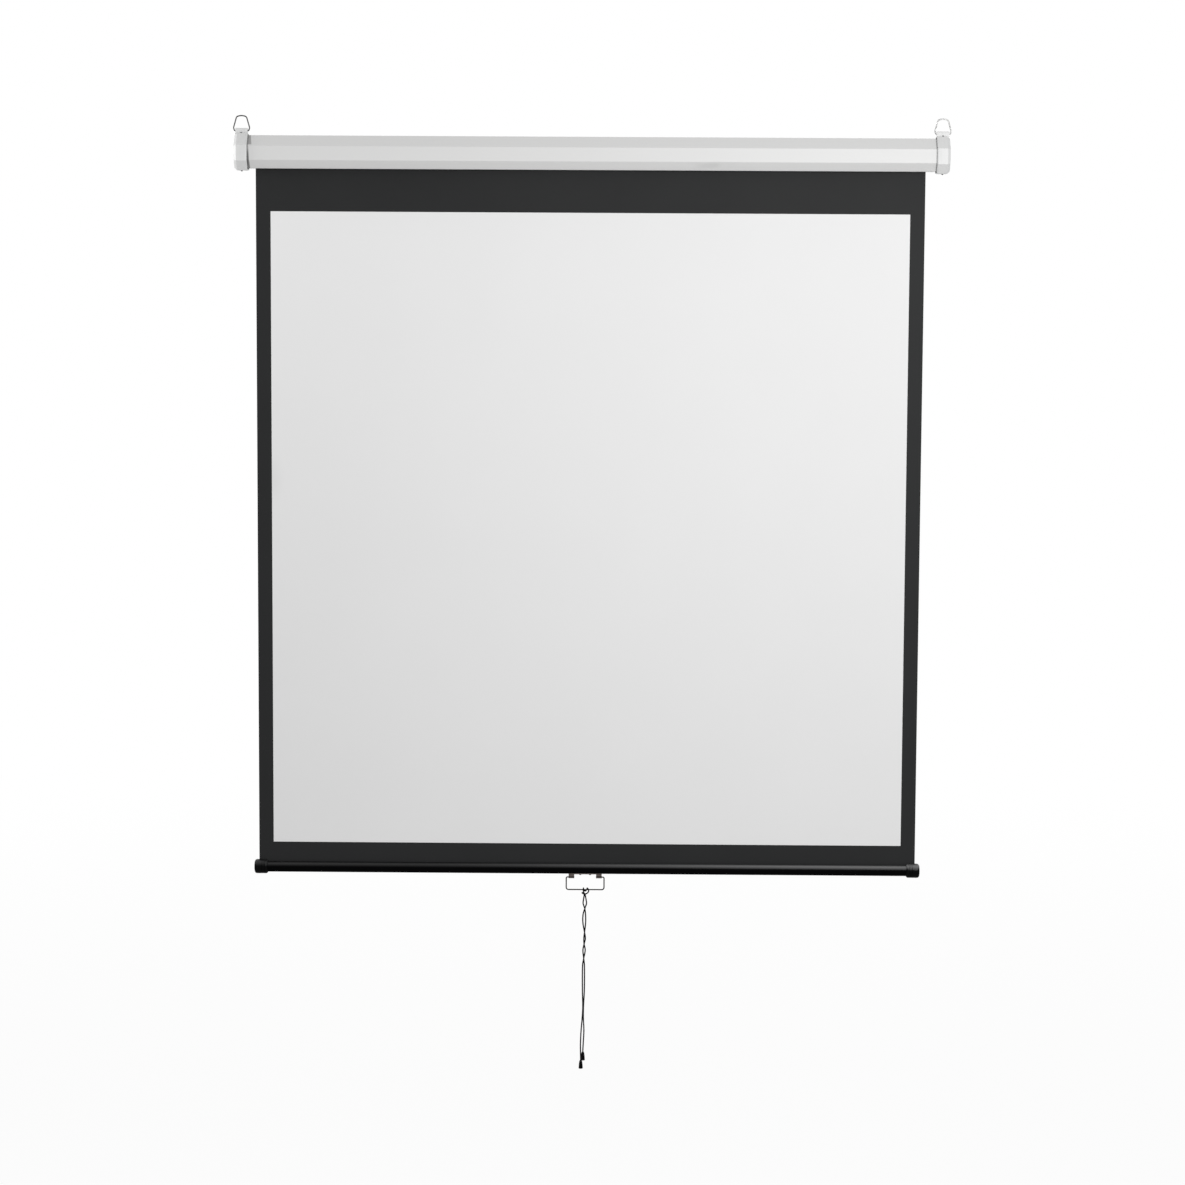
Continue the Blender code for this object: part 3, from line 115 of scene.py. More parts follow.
# Where the colours of a Mix node are among its sockets: two inputs and the result
MIX_FIRST = 6
MIX_SECOND = 7
MIX_RESULT = 2

# The way in which the pattern of a noise is moved, so that two noises of one size differ
NOISE_SHIFT = (1.0, 1.7, 2.3)

# Open joint between the case's end and the cap's shell
CASE_TO_CAP = 2.2 * MM

# Heights from the case's top: the foot and head of its front facet, and the foot of the painted shadow of
# the left cap
FRONT_FACET = (-52.0 * MM, -22.0 * MM)
CAP_SHADOW_FOOT = (-23.3 * MM, -20.8 * MM)

# How far the painted shadow of the left cap reaches from the case's left end, softly, and how much it widens
# downwards
CAP_SHADOW_REACH = (6.2 * MM, 4.8 * MM)
CAP_SHADOW_LEAN = 0.158

# How much the painted shade in the joint at the left end leans, and how far below the frame's origin it
# stands true
JOINT_SHADE_LEAN = 0.035
JOINT_SHADE_DEPTH = 0.040

# A darker, rougher patch on the case's lower facet: its middle, and how far it reaches
DARK_PATCH_PLACE = (0.285, -0.034, -0.112)
DARK_PATCH_REACH = (0.075, 0.03, 0.016)

# The handling mark at the picture's left edge: its share of the picture's height, and how far it reaches
HANDLED_HEIGHT = 0.58
HANDLED_REACH = (0.035, 1.0, 0.07)

# Painted light and shade: how light the two rings' wire and the cap screws are painted beside their base
# colours, the left ring as shaded, the right ring as lit and the screws as shaded
RING_PAINTED_LIGHT = {"left": 0.30, "right": 1.6}
SCREW_PAINTED_SHADE = 0.16

# Length of the handle bracket's knuckles along the bail's wire, and their steel's thickness
KNUCKLE_LENGTH = 14.0 * MM
KNUCKLE_WALL = 1.3 * MM

# Painted highlight on the shoulders of the weight bar and its caps: its colour, and the two X between which
# it grows
PAINTED_SHEEN_COLOUR = (0.148, 0.148, 0.150)
PAINTED_SHEEN_RUN = (-0.45, 0.75)

# The clear coat that is left where a polished surface stands upright
LEAST_COAT = 0.02

# Thread spacing of the cloth's weave, and the soft edge of the picture area
WEAVE_PITCH = 0.9 * MM
PICTURE_EDGE = 0.25 * MM

# Waves of the hanging cloth, as shares of the ripple height: a first wave, a second one at another rate,
# and a slow drift. They lean, and they fade out at the roller and at the bar.
FIRST_WAVE = 0.55
SECOND_WAVE = 0.45
SECOND_RATE = 0.53
SECOND_PHASE = 1.9
DRIFT_WAVE = 0.8
DRIFT_RATE_X = 2.3
DRIFT_RATE_Z = 1.4
DRIFT_PLACE = 4.0
WAVE_LEAN = 0.12
WAVE_START = 0.03
WAVE_SPAN = 0.95
WAVE_EASE = 0.8

# How far in from the cloth's side edges their curl reaches
CURL_REACH = 0.018

# Steps round one turn of the roll and round the hem, and how far apart their sections are along X
ROLL_STEPS = 60
ROLL_SECTION = 0.04
HEM_STEPS = 48
HEM_SECTION = 0.02

# How far the hem's two layers reach up over the cloth's lower edge, and their air to it
HEM_LAP = 1.6 * MM
HEM_AIR = 0.03 * MM

# The pull cord's curve: the length of its steps, how many of them one piece runs into the next, and how many
# lie between two points of a strand's thinned path
CORD_STEP = 0.45 * MM
CORD_JOINT = 2
CORD_STRIDE = 4

# Room for rounding, where a place on the curve is compared with one of its own points
ROUNDING = 1e-9

# The pull cord's braid: the points round it, and the power that rounds its strands
CORD_SIDES = 24
BRAID_CROWN = 0.6

# Route points of the pull cord, in millimetres from the middle of the bail's lower wire:
# right, back, up
HITCH_ROUTE = (
    (0.9, -1.7, -15.0), (-0.4, -1.6, -11.5), (-3.0, -2.4, -6.6),
    (-4.3, -3.6, -1.0), (-4.2, -1.6, 3.2), (-4.0, 1.9, 3.0),
    (-3.4, 3.4, -1.2), (0.2, 3.7, -4.2), (4.0, 3.5, -0.8),
    (5.0, 1.7, 3.1), (6.0, -1.5, 3.3), (8.8, -3.2, -0.6),
    (7.2, -4.2, -6.2), (1.8, -5.0, -9.6), (-3.6, -5.6, -9.2),
    (-6.9, -3.2, -8.0), (-5.9, 0.8, -7.6), (-3.0, 2.2, -9.6),
    (-2.3, 1.7, -12.4), (-2.2, 1.4, -15.0),
)
SHORT_ROUTE = (
    (0.9, -1.7, -15.3), (2.6, -1.0, -25.0), (3.6, 0.2, -34.0),
    (-0.2, 1.7, -46.6), (-4.6, 0.2, -62.0), (-4.9, -0.6, -82.0),
    (-0.9, -1.8, -105.0), (1.3, -0.4, -121.0), (-1.4, 1.7, -134.0),
    (-4.5, 0.4, -150.0), (-2.4, -1.8, -171.0), (-0.7, -0.5, -188.0),
    (-0.6, -0.3, -250.0), (-2.4, -1.7, -290.0), (-2.6, -2.2, -318.0),
    (-1.2, -2.0, -350.0), (-2.7, -2.1, -383.0), (-3.6, -2.2, -403.0),
    (-3.6, -2.2, -409.6),
)
LONG_ROUTE = (
    (-2.2, 1.4, -15.3), (-3.8, 1.0, -25.0), (-4.6, -0.2, -34.0),
    (-0.6, -1.7, -46.6), (1.4, -0.2, -62.0), (1.7, 0.6, -82.0),
    (-0.7, 1.8, -105.0), (-2.4, 0.6, -121.0), (-1.8, -1.7, -134.0),
    (1.0, -0.4, -150.0), (-2.5, 1.8, -171.0), (-5.2, 0.8, -188.0),
    (-5.3, 0.8, -250.0), (-4.2, 1.7, -290.0), (-5.4, 2.2, -318.0),
    (-8.0, 2.6, -350.0), (-9.4, 3.0, -383.0), (-9.2, 3.0, -406.0),
    (-8.7, 2.8, -425.0), (-8.6, 2.8, -431.6),
)


def length(name, default, description, soft_max=0.1):
    """A length of the screen that a user may set."""
    return FloatProperty(
        name=name, description=description, default=default, min=0.0, soft_max=soft_max, precision=5,
        subtype="DISTANCE", unit="LENGTH",
    )


def number(name, default, description, least):
    """A number of things that a user may set."""
    return IntProperty(name=name, description=description, default=default, min=least)


def colour(name, default, description):
    """A finish's base colour that a user may set."""
    return FloatVectorProperty(
        name=name, description=description, default=default, min=0.0, max=1.0, size=3, subtype="COLOR"
    )


def power(name, default, description):
    """A lamp's power that a user may set."""
    return FloatProperty(
        name=name, description=description, default=default, min=0.0, subtype="POWER", unit="POWER"
    )


class ScreenSizes(PropertyGroup):
    """Sizes of the pieces made here."""

    edge_break: length("Edge break", 0.25 * MM, "Rounding of the sheet metal's and plastic's edges")
    cloth_thickness: length("Cloth thickness", 0.45 * MM, "Thickness of the coated cloth")
    cloth_mesh: length("Cloth mesh", 11.0 * MM, "Spacing of the grid that the hanging cloth is made of")
    ripple_height: length("Ripple height", 0.9 * MM, "How far the hanging cloth waves to and fro")
    ripple_width: length("Ripple width", 0.31, "Distance from one wave of the cloth to the next", 1.0)
    edge_curl: length("Edge curl", 0.8 * MM, "How far the cloth's side edges bend back")
    roll_turns: number("Roll turns", 2, "Turns of cloth left on the roller", 1)
    roll_spacing: length("Roll spacing", 0.35 * MM, "Air between one turn of the roll and the next")
    cord_radius: length("Cord radius", 1.60 * MM, "Radius of the pull cord")
    braid_length: length("Braid length", 2.6 * MM, "Length of one stitch of the cord's braid")
    braid_height: length("Braid height", 0.16 * MM, "Height of the braid's strands")
    braid_strands: number("Braid strands", 6, "Strands that run each way", 2)


class ScreenColours(PropertyGroup):
    """Base colours of the finishes."""

    case_white: colour("Case paint", (0.672, 0.672, 0.668), "White stove paint of the case")
    cap_white: colour("Cap plastic", (0.672, 0.675, 0.673), "White moulded plastic of the end caps")
    zinc: colour("Zinc", (0.58, 0.59, 0.60), "Zinc-plated steel inside the case")
    spring: colour("Spring steel", (0.23, 0.22, 0.21), "Oiled spring wire")
    ring: colour("Ring wire", (0.22, 0.22, 0.217), "Plated wire of the hanging rings")
    bail: colour("Bail wire", (0.019, 0.016, 0.014), "Bronzed wire of the pull handle")
    bracket: colour("Bracket steel", (0.150, 0.128, 0.118), "Pressed steel of the handle bracket")
    grey_plastic: colour("Grey plastic", (0.25, 0.26, 0.27), "Grey moulded plastic inside the roller")
    cloth_black: colour("Black cloth", (0.0165, 0.0170, 0.0175), "Black border and back of the cloth")
    picture_white: colour("Picture white", (0.80, 0.80, 0.80), "Matt white picture area")
    bar_black: colour("Bar paint", (0.0018, 0.0018, 0.0020), "Black gloss paint of the weight bar")
    plastic_black: colour(
        "Black plastic", (0.0022, 0.0022, 0.0023), "Black plastic of the bar's caps and the bells"
    )
    cord_black: colour("Black cord", (0.0040, 0.0040, 0.0043), "Black braided cord")


class ScreenLight(PropertyGroup):
    """Power of the studio's lamps and its even light."""

    key: power("Key", 55.0, "Soft lamp at the front, to the right")
    side: power("Side", 4.6, "Lamp beside the left end cap")
    ambient: FloatProperty(name="Ambient", description="Even light of the room", default=0.60, min=0.0)


class Wired:
    """One output socket. Arithmetic on it adds Math nodes."""

    def __init__(self, finish, socket):
        self.finish = finish
        self.socket = socket

    def math(self, operation, *values):
        return self.finish.node("ShaderNodeMath", {"operation": operation}, dict(enumerate(values)))

    def __add__(self, other):
        return self.math("ADD", self, other)

    def __sub__(self, other):
        return self.math("SUBTRACT", self, other)

    def __rsub__(self, other):
        return self.math("SUBTRACT", other, self)

    def __mul__(self, other):
        return self.math("MULTIPLY", self, other)

    __radd__ = __add__
    __rmul__ = __mul__

    def sine(self):
        return self.math("SINE", self)

    def size(self):
        return self.math("ABSOLUTE", self)


class Finish:
    """A procedural material in the making: its shader and what feeds it."""

    def __init__(self, name, library=None, shader="ShaderNodeBsdfPrincipled", **constants):
        self.material = (bpy.data.materials if library is None else library).new(name)
        self.material.use_nodes = True
        self.tree = self.material.node_tree
        self.shader = self.only(shader)
        for socket, value in constants.items():
            self.put(self.shader.inputs[socket.replace("_", " ")], value)
        self.place = self.node("ShaderNodeTexCoord", output="Object")

    def only(self, kind):
        """The tree's one node of a kind, added where there is none."""
        found = [made for made in self.tree.nodes if made.bl_idname == kind]
        return found[0] if found else self.tree.nodes.new(kind)

    def node(self, kind, settings=None, inputs=None, output=0):
        """Adds a node: its settings first, then its sockets' values or links."""
        made = self.tree.nodes.new(kind)
        for key, value in (settings or {}).items():
            setattr(made, key, value)
        for key, value in (inputs or {}).items():
            self.put(made.inputs[key], value)
        return Wired(self, made.outputs[output])

    def put(self, socket, value):
        """Links a wired value to a socket, or sets a plain one on it."""
        if isinstance(value, Wired):
            self.tree.links.new(value.socket, socket)
        elif socket.type == "RGBA":
            socket.default_value = (*value, 1.0)
        else:
            socket.default_value = value

    def axes(self, vector=None):
        """The X, Y and Z of a vector, or of the surface's own place in metres."""
        parts = self.tree.nodes.new("ShaderNodeSeparateXYZ")
        self.put(parts.inputs[0], vector or self.place)
        return [Wired(self, socket) for socket in parts.outputs]

    def band(self, value, low, high, edge):
        """1 between low and high, with edges of a width."""
        return self.rise(value, low - edge, low + edge) * self.rise(value, high + edge, high - edge)

    def scaled(self, scale, shift=(0.0, 0.0, 0.0)):
        """The surface's own place, scaled and then shifted."""
        return self.node("ShaderNodeMapping", {}, {"Vector": self.place, "Scale": scale, "Location": shift})

    def noise(self, size, detail, along_x=1.0, along_z=1.0, shift=0.0):
        """Soft random tone from 0 to 1 with patches of a size in metres, drawn out along X or Z."""
        scale = (1.0 / (size * along_x), 1.0 / size, 1.0 / (size * along_z))
        placed = self.scaled(scale, tuple(shift * part for part in NOISE_SHIFT))
        return self.node("ShaderNodeTexNoise", {}, {"Vector": placed, "Scale": 1.0, "Detail": detail})

    def cells(self, size):
        """Random tone from 0 to 1, even within each cell of a size in metres."""
        placed = self.scaled((1 / size, 1 / size, 1 / size))
        tone = self.node("ShaderNodeTexVoronoi", {}, {"Vector": placed, "Scale": 1.0}, "Color")
        return self.node("ShaderNodeSeparateColor", {}, {0: tone})

    def rise(self, value, low, high):
        """0 below low, 1 above high and smooth between."""
        return self.node(
            "ShaderNodeMapRange",
            {"interpolation_type": "SMOOTHSTEP"},
            {"Value": value, "From Min": low, "From Max": high},
        )

    def vector(self, operation, *values, output=0):
        """Vector maths on wired or plain vectors."""
        return self.node("ShaderNodeVectorMath", {"operation": operation}, dict(enumerate(values)), output)

    def near(self, point, reach):
        """1 at a point of the object, falling to 0 at a reach along each axis from it."""
        eased = self.vector("DIVIDE", self.vector("SUBTRACT", self.place, point), reach)
        return self.rise(self.vector("LENGTH", eased, output="Value"), 1.0, 0.0)

    def facing_up(self):
        """The Z of the surface's own direction: 1 where it faces up and 0 where it stands upright."""
        return self.axes(self.node("ShaderNodeTexCoord", output="Normal"))[2]

    def polish(self, share):
        """Coats the surface by a share where it faces up, and next to nothing where it stands upright."""
        coat = LEAST_COAT + share * self.rise(self.facing_up(), 0.10, 0.80)
        self.put(self.shader.inputs["Coat Weight"], coat)

    def painted_sheen(self):
        """Painted highlight on the shoulders of a level bar, a tenth as strong at its left end as towards
        the right.
        """
        up = self.facing_up()
        shoulder = self.rise(up, 0.25, 0.75) * self.rise(up, 1.04, 0.80)
        return shoulder * (0.10 + 0.90 * self.rise(self.axes()[0], *PAINTED_SHEEN_RUN))

    def mix(self, factor, first, second):
        """A colour between two."""
        return self.node(
            "ShaderNodeMix",
            {"data_type": "RGBA"},
            {0: factor, MIX_FIRST: first, MIX_SECOND: second},
            MIX_RESULT,
        )

    def seen(self):
        """1 for the rays that look at a surface, straight or by way of gloss or glass, and 0 for light."""
        total = self.node("ShaderNodeLightPath", output="Is Camera Ray")
        for ray in ("Is Glossy Ray", "Is Transmission Ray"):
            total = total + self.node("ShaderNodeLightPath", output=ray)
        return self.node("ShaderNodeClamp", {}, {0: total})

    def turn_to(self, share, kind, output):
        """Lets a plain white shader of a kind take over from the main one by a share."""
        white = self.node(kind, {}, {"Color": WHITE, "Strength": 1.0})
        first = Wired(self, self.shader.outputs[0])
        blend = self.node("ShaderNodeMixShader", {}, {0: share, 1: first, 2: white})
        self.put(self.only(output).inputs["Surface"], blend)

    def paint(self, base, roughness, heights):
        """Feeds the shader: its colour, its roughness and (height, depth in metres) reliefs."""
        self.put(self.shader.inputs["Base Color"], base)
        self.put(self.shader.inputs["Roughness"], roughness)
        normal = None
        for height, depth in heights:
            feeds = {"Height": height, "Distance": depth, "Strength": 1.0}
            if normal:
                feeds["Normal"] = normal
            normal = self.node("ShaderNodeBump", {}, feeds)
        if normal:
            self.put(self.shader.inputs["Normal"], normal)
        return self.material


def shade(base, factor):
    """A colour made lighter or darker."""
    return tuple(min(1.0, part * factor) for part in base)


def white_paint(base, left, right, top):
    """Stove paint on rolled sheet: orange peel, drift in tone, dust, a dark patch and painted shade in the
    joints at the caps.

    left and right are the X of the case's two ends, and top is the Z of its top. At the left end the painted
    shade in the joint grows lighter up the front facet, and a painted shadow of the left cap, wider below
    than above, lies on the upper one.
    """
    made = Finish("white stove paint", Specular_IOR_Level=0.4)
    drift = made.noise(0.30, detail=2.0, along_x=3.0)
    rolling = made.noise(0.004, detail=2.0, along_x=40.0)
    specks = made.rise(made.noise(1.3 * MM, detail=1.0, shift=7.0), 0.74, 0.80)
    # A darker, rougher patch on the lower facet
    dark_patch = made.near(DARK_PATCH_PLACE, DARK_PATCH_REACH)
    dark_patch = dark_patch * made.rise(made.noise(0.02, detail=3.0, along_x=2.0, shift=3.0), 0.25, 0.75)
    tone = made.mix(drift, shade(base, 0.975), shade(base, 1.015))
    tone = made.mix(dark_patch * 0.30, tone, shade(base, 0.62))
    tone = made.mix(specks * 0.35, tone, shade(base, 0.55))
    across, _, up = made.axes()
    # Painted shade in the open joints at the caps: dark at the left end and lighter up its front facet,
    # faint at the right end
    slant = (up + JOINT_SHADE_DEPTH) * JOINT_SHADE_LEAN
    below = up - top
    fade = made.rise(below, *FRONT_FACET)
    joint = made.rise(across + slant, left + 1.8 * MM, left + 0.6 * MM) * (0.85 - 0.50 * fade)
    joint = joint + made.rise(across, right - 1.4 * MM, right - 0.4 * MM) * 0.25
    tone = made.mix(joint, tone, shade(base, 0.14))
    # Painted shadow of the left end cap, cast on the case's upper facet
    painted_cap_shadow = made.rise(across + below * CAP_SHADOW_LEAN, left + CAP_SHADOW_REACH[0], left + CAP_SHADOW_REACH[1])
    painted_cap_shadow = painted_cap_shadow * made.rise(below, *CAP_SHADOW_FOOT)
    tone = made.mix(painted_cap_shadow * 0.72, tone, shade(base, 0.30))
    peel = made.noise(1.9 * MM, detail=2.0)
    roughness = 0.36 + 0.10 * drift + 0.18 * dark_patch + 0.06 * rolling
    return made.paint(tone, roughness, ((peel, 0.035 * MM), (rolling, 0.02 * MM)))


def white_plastic(base, rim, top):
    """Injection-moulded plastic: fine spark grain, handling marks, and painted shade in the joint with the
    case.

    rim is how far from the middle the caps' outer shells begin, and top is the Z of the case's top. The
    painted shade in the joint at the left end grows lighter upwards.
    """
    made = Finish("white moulded plastic", Specular_IOR_Level=0.45)
    flow = made.noise(0.030, detail=3.0, along_z=2.5)
    grain = made.noise(0.45 * MM, detail=2.0)
    rub = made.rise(made.noise(0.009, detail=4.0, along_z=3.0, shift=5.0), 0.58, 0.74)
    tone = made.mix(flow, shade(base, 0.97), shade(base, 1.02))
    tone = made.mix(rub * 0.25, tone, shade(base, 0.84))
    across, _, up = made.axes()
    fade = made.rise(up - top, *FRONT_FACET)
    # Painted shade on the part of the cap that lies inside the open joint, darkest at the left end
    painted_gap_shade = made.rise(across.size(), rim - 0.1 * MM, rim - 0.7 * MM)
    painted_gap_shade = painted_gap_shade * (0.35 + 0.57 * made.rise(across, 0.1, -0.1) * (1 - 0.80 * fade))
    tone = made.mix(painted_gap_shade, tone, shade(base, 0.05))
    return made.paint(tone, 0.40 + 0.10 * grain + 0.10 * rub, ((grain, 0.020 * MM), (flow, 0.05 * MM)))


def zinc_plate(base, name="zinc plate"):
    """Bright zinc on steel: pale spangles, drawing lines and dull stains."""
    made = Finish(name, Metallic=1.0)
    spangle = made.cells(3.2 * MM)
    lines = made.noise(0.5 * MM, detail=2.0, along_x=60.0)
    stain = made.rise(made.noise(0.018, detail=4.0, shift=2.0), 0.50, 0.72)
    tone = made.mix(spangle, shade(base, 0.82), shade(base, 1.18))
    tone = made.mix(stain * 0.45, tone, shade(base, 0.60))
    return made.paint(tone, 0.26 + 0.16 * stain + 0.08 * spangle, ((lines, 0.02 * MM),))


def drawn_wire(name, base, dulled):
    """Bent wire: die lines, a plating that dulls in patches and small nicks."""
    made = Finish(name, Metallic=1.0)
    patches = made.rise(made.noise(0.007, detail=4.0), 0.42, 0.66)
    lines = made.noise(0.35 * MM, detail=2.0, along_z=22.0)
    nicks = made.rise(made.noise(1.1 * MM, detail=2.0, shift=4.0), 0.66, 0.74)
    tone = made.mix(patches * 0.5, base, dulled)
    tone = made.mix(lines * 0.35, tone, shade(base, 1.35))
    tone = made.mix(nicks * 0.5, tone, shade(dulled, 0.6))
    return made.paint(tone, 0.24 + 0.20 * patches + 0.08 * lines, ((lines, 0.03 * MM), (nicks, -0.05 * MM)))


def pressed_steel(base, middle, knuckle, roll_top):
    """Pressed strip with a warm passivated plating, rubbed brighter in patches and dark on its knuckles.

    middle is the X of the bracket's middle, and the knuckles begin at a distance, knuckle, from it. They
    are darkest on their rolls, which lie below roll_top, a Z.
    """
    made = Finish("passivated pressed steel", Metallic=1.0)
    bloom = made.noise(0.010, detail=4.0)
    press = made.noise(0.6 * MM, detail=2.0, along_x=18.0)
    rub = made.rise(made.noise(0.005, detail=3.0, along_x=4.0, shift=6.0), 0.50, 0.70)
    tone = made.mix(bloom, shade(base, 0.78), shade(base, 1.15))
    tone = made.mix(rub * 0.4, tone, shade(base, 1.5))
    across, _, up = made.axes()
    # Darker on the knuckles, and darkest on their rolls
    darkened_knuckles = made.rise((across - middle).size(), knuckle - 1.5 * MM, knuckle + 1.5 * MM)
    darkened_knuckles = darkened_knuckles * (0.25 + 0.50 * made.rise(up, roll_top + 0.6 * MM, roll_top - 0.6 * MM))
    tone = made.mix(darkened_knuckles, tone, shade(base, 0.25))
    return made.paint(tone, 0.34 + 0.14 * bloom - 0.08 * rub, ((press, 0.03 * MM), (bloom, 0.02 * MM)))


def moulded_plastic(name, base, roughness, specular, polish=0.0, with_painted_highlight=False):
    """Coloured moulded plastic: grain, flow marks and rubbed patches, a polish on what faces up, and a
    painted highlight on its shoulders where asked.
    """
    made = Finish(name, Specular_IOR_Level=specular, Coat_Roughness=0.30)
    if polish:
        made.polish(polish)
    grain = made.noise(0.6 * MM, detail=2.0)
    flow = made.noise(0.012, detail=3.0, along_x=3.0)
    rub = made.rise(made.noise(0.004, detail=3.0, shift=8.0), 0.58, 0.72)
    tone = made.mix(flow, shade(base, 0.85), shade(base, 1.2))
    tone = made.mix(rub * 0.35, tone, shade(base, 2.2))
    if with_painted_highlight:
        # Painted highlight on the shoulders
        tone = made.mix(made.painted_sheen(), tone, PAINTED_SHEEN_COLOUR)
    roughness = roughness + 0.10 * grain + 0.12 * rub
    return made.paint(tone, roughness, ((grain, 0.03 * MM), (flow, 0.03 * MM)))


def gloss_black(base):
    """Black lacquer, glossier above than below: orange peel, drawing lines, a painted highlight on its
    shoulders, dust and scratches.
    """
    made = Finish("black gloss paint", Specular_IOR_Level=0.0, Coat_Roughness=0.33)
    made.polish(0.45)
    peel = made.noise(2.2 * MM, detail=2.0, along_x=2.0)
    lines = made.noise(0.8 * MM, detail=2.0, along_x=90.0)
    dust = made.rise(made.noise(1.0 * MM, detail=1.0, shift=9.0), 0.72, 0.80)
    scratch = made.rise(made.noise(0.5 * MM, detail=1.0, along_x=70.0, shift=2.0), 0.70, 0.78)
    # Painted highlight on the bar's shoulders, stronger towards the right
    tone = made.mix(made.painted_sheen(), base, PAINTED_SHEEN_COLOUR)
    tone = made.mix(dust * 0.4, tone, shade(base, 18.0))
    tone = made.mix(scratch * 0.3, tone, shade(base, 8.0))
    return made.paint(tone, 0.5 + 0.2 * dust, ((peel, 0.03 * MM), (lines, 0.015 * MM)))


def weave_of(made):
    """The height of a plain weave in the plane of X and Z, from 0 to 1."""
    across, _, up = made.axes()
    warp = (across * (math.tau / WEAVE_PITCH)).sine()
    weft = (up * (math.tau / WEAVE_PITCH)).sine()
    return 0.5 + 0.25 * (warp + weft) + 0.25 * warp * weft


def lint_on(made):
    """Lint that clings to the cloth, from 0 to 1."""
    return made.rise(made.noise(1.4 * MM, detail=2.0, along_x=2.5, shift=5.0), 0.73, 0.79)


def black_tone(made, base, drift, lint):
    """The colour of the black cloth: a drift in tone, and its lint."""
    tone = made.mix(drift, shade(base, 0.85), shade(base, 1.15))
    return made.mix(lint * 0.25, tone, shade(base, 7.0))


def black_cloth(base, name="black coated cloth"):
    """Coated black cloth: a close weave, drift in tone, lint."""
    made = Finish(name, Specular_IOR_Level=0.14)
    weave = weave_of(made)
    drift = made.noise(0.12, detail=3.0)
    tone = black_tone(made, base, drift, lint_on(made))
    return made.paint(tone, 0.52 + 0.08 * weave + 0.06 * drift, ((weave, 0.03 * MM),))


def screen_front(border, picture, low, high):
    """The front of the cloth: a matt white picture area within a black border."""
    made = Finish("screen front", Specular_IOR_Level=0.14)
    across, _, up = made.axes()
    inside = made.band(across, low.x, high.x, PICTURE_EDGE) * made.band(up, low.z, high.z, PICTURE_EDGE)
    weave = weave_of(made)
    grain = made.noise(0.8 * MM, detail=2.0)
    drift = made.noise(0.22, detail=3.0)
    lint = lint_on(made)
    handled_z = low.z * (1 - HANDLED_HEIGHT) + high.z * HANDLED_HEIGHT
    handled = made.near((low.x, 0.0, handled_z), HANDLED_REACH)
    dark = black_tone(made, border, drift, lint)
    pale = made.mix(drift, shade(picture, 0.985), shade(picture, 1.01))
    pale = made.mix(handled * 0.22, pale, shade(picture, 0.74))
    pale = made.mix(lint * 0.05, pale, shade(picture, 0.6))
    tone = made.mix(inside, dark, pale)
    roughness = 0.52 + 0.08 * weave + 0.34 * inside
    relief = weave * (1 - inside) + grain * inside
    return made.paint(tone, roughness, ((relief, 0.03 * MM),))


def braided_cord(base):
    """Black polyester yarn: fibres across each strand, lighter where rubbed."""
    made = Finish("black braided yarn", Specular_IOR_Level=0.10)
    fibre = made.noise(0.22 * MM, detail=2.0, along_z=5.0)
    worn = made.rise(made.noise(0.010, detail=3.0), 0.52, 0.72)
    tone = made.mix(fibre, shade(base, 0.7), shade(base, 1.6))
    tone = made.mix(worn * 0.35, tone, shade(base, 2.6))
    return made.paint(tone, 0.62 + 0.15 * fibre, ((fibre, 0.03 * MM),))


def dress(node, finish, edge=0.0):
    """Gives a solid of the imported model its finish, and breaks its sharp edges by edge."""
    piece = frame["nodes"][node]
    piece.data.materials.clear()
    piece.data.materials.append(finish)
    weld = piece.modifiers.new("joined corners", "WELD")
    weld.merge_threshold = WELD_REACH
    if edge:
        bevel = piece.modifiers.new("broken edges", "BEVEL")
        bevel.width = edge
        bevel.segments = BROKEN_STEPS
        bevel.limit_method = "ANGLE"
        bevel.angle_limit = BROKEN_ANGLE
    piece.modifiers.new("even shading", "WEIGHTED_NORMAL")
    return piece


def mesh_piece(name, points, faces, finishes, smooth=True):
    """A new piece from points in metres and faces, linked to the scene."""
    data = bpy.data.meshes.new(name)
    data.from_pydata(points, [], faces)
    for finish in finishes:
        data.materials.append(finish)
    if smooth:
        data.shade_smooth()
        data.set_sharp_from_angle(angle=HARD_ANGLE)
    piece = bpy.data.objects.new(name, data)
    bpy.context.scene.collection.objects.link(piece)
    return piece


def skin(count, rows):
    """Faces all round a tube that has rows of points, count of them in each."""
    faces = []
    for a in range(0, (rows - 1) * count, count):
        for i in range(count):
            j = (i + 1) % count
            faces.append((a + i, a + j, a + count + j, a + count + i))
    return faces


def round_point(middle, radius, angle):
    """A point in Y and Z on a circle round a middle."""
    return Vector((middle.y + radius * math.cos(angle), middle.z + radius * math.sin(angle)))


def closed_strip(outline, thickness):
    """The two sides of a strip of cloth that follows an outline in a plane: one closed loop of points."""
    left, right = [], []
    for i, point in enumerate(outline):
        before, after = outline[max(i - 1, 0)], outline[min(i + 1, len(outline) - 1)]
        along = (after - before).normalized()
        out = Vector((along.y, -along.x)) * thickness / 2
        left.append(point + out)
        right.append(point - out)
    return left + right[::-1]


def drawn_along_x(name, outline, thickness, stations, finish):
    """Cloth of a thickness that follows an outline in Y and Z, drawn along X through stations."""
    loop = closed_strip(outline, thickness)
    count = len(loop)
    points = [(x, point.x, point.y) for x in stations for point in loop]
    faces = skin(count, len(stations))
    half = count // 2
    for row, turned in ((0, False), (len(stations) - 1, True)):
        a = row * count
        for i in range(half - 1):
            face = (a + i, a + count - 1 - i, a + count - 2 - i, a + i + 1)
            faces.append(face[::-1] if turned else face)
    piece = mesh_piece(name, points, faces, [finish])
    outward(piece.data)
    return piece


def outward(data):
    """Turns every face of a closed mesh to the outside."""
    mesh = bmesh.new()
    mesh.from_mesh(data)
    bmesh.ops.recalc_face_normals(mesh, faces=mesh.faces)
    if mesh.calc_volume(signed=True) < 0:
        bmesh.ops.reverse_faces(mesh, faces=mesh.faces)
    mesh.to_mesh(data)
    mesh.free()


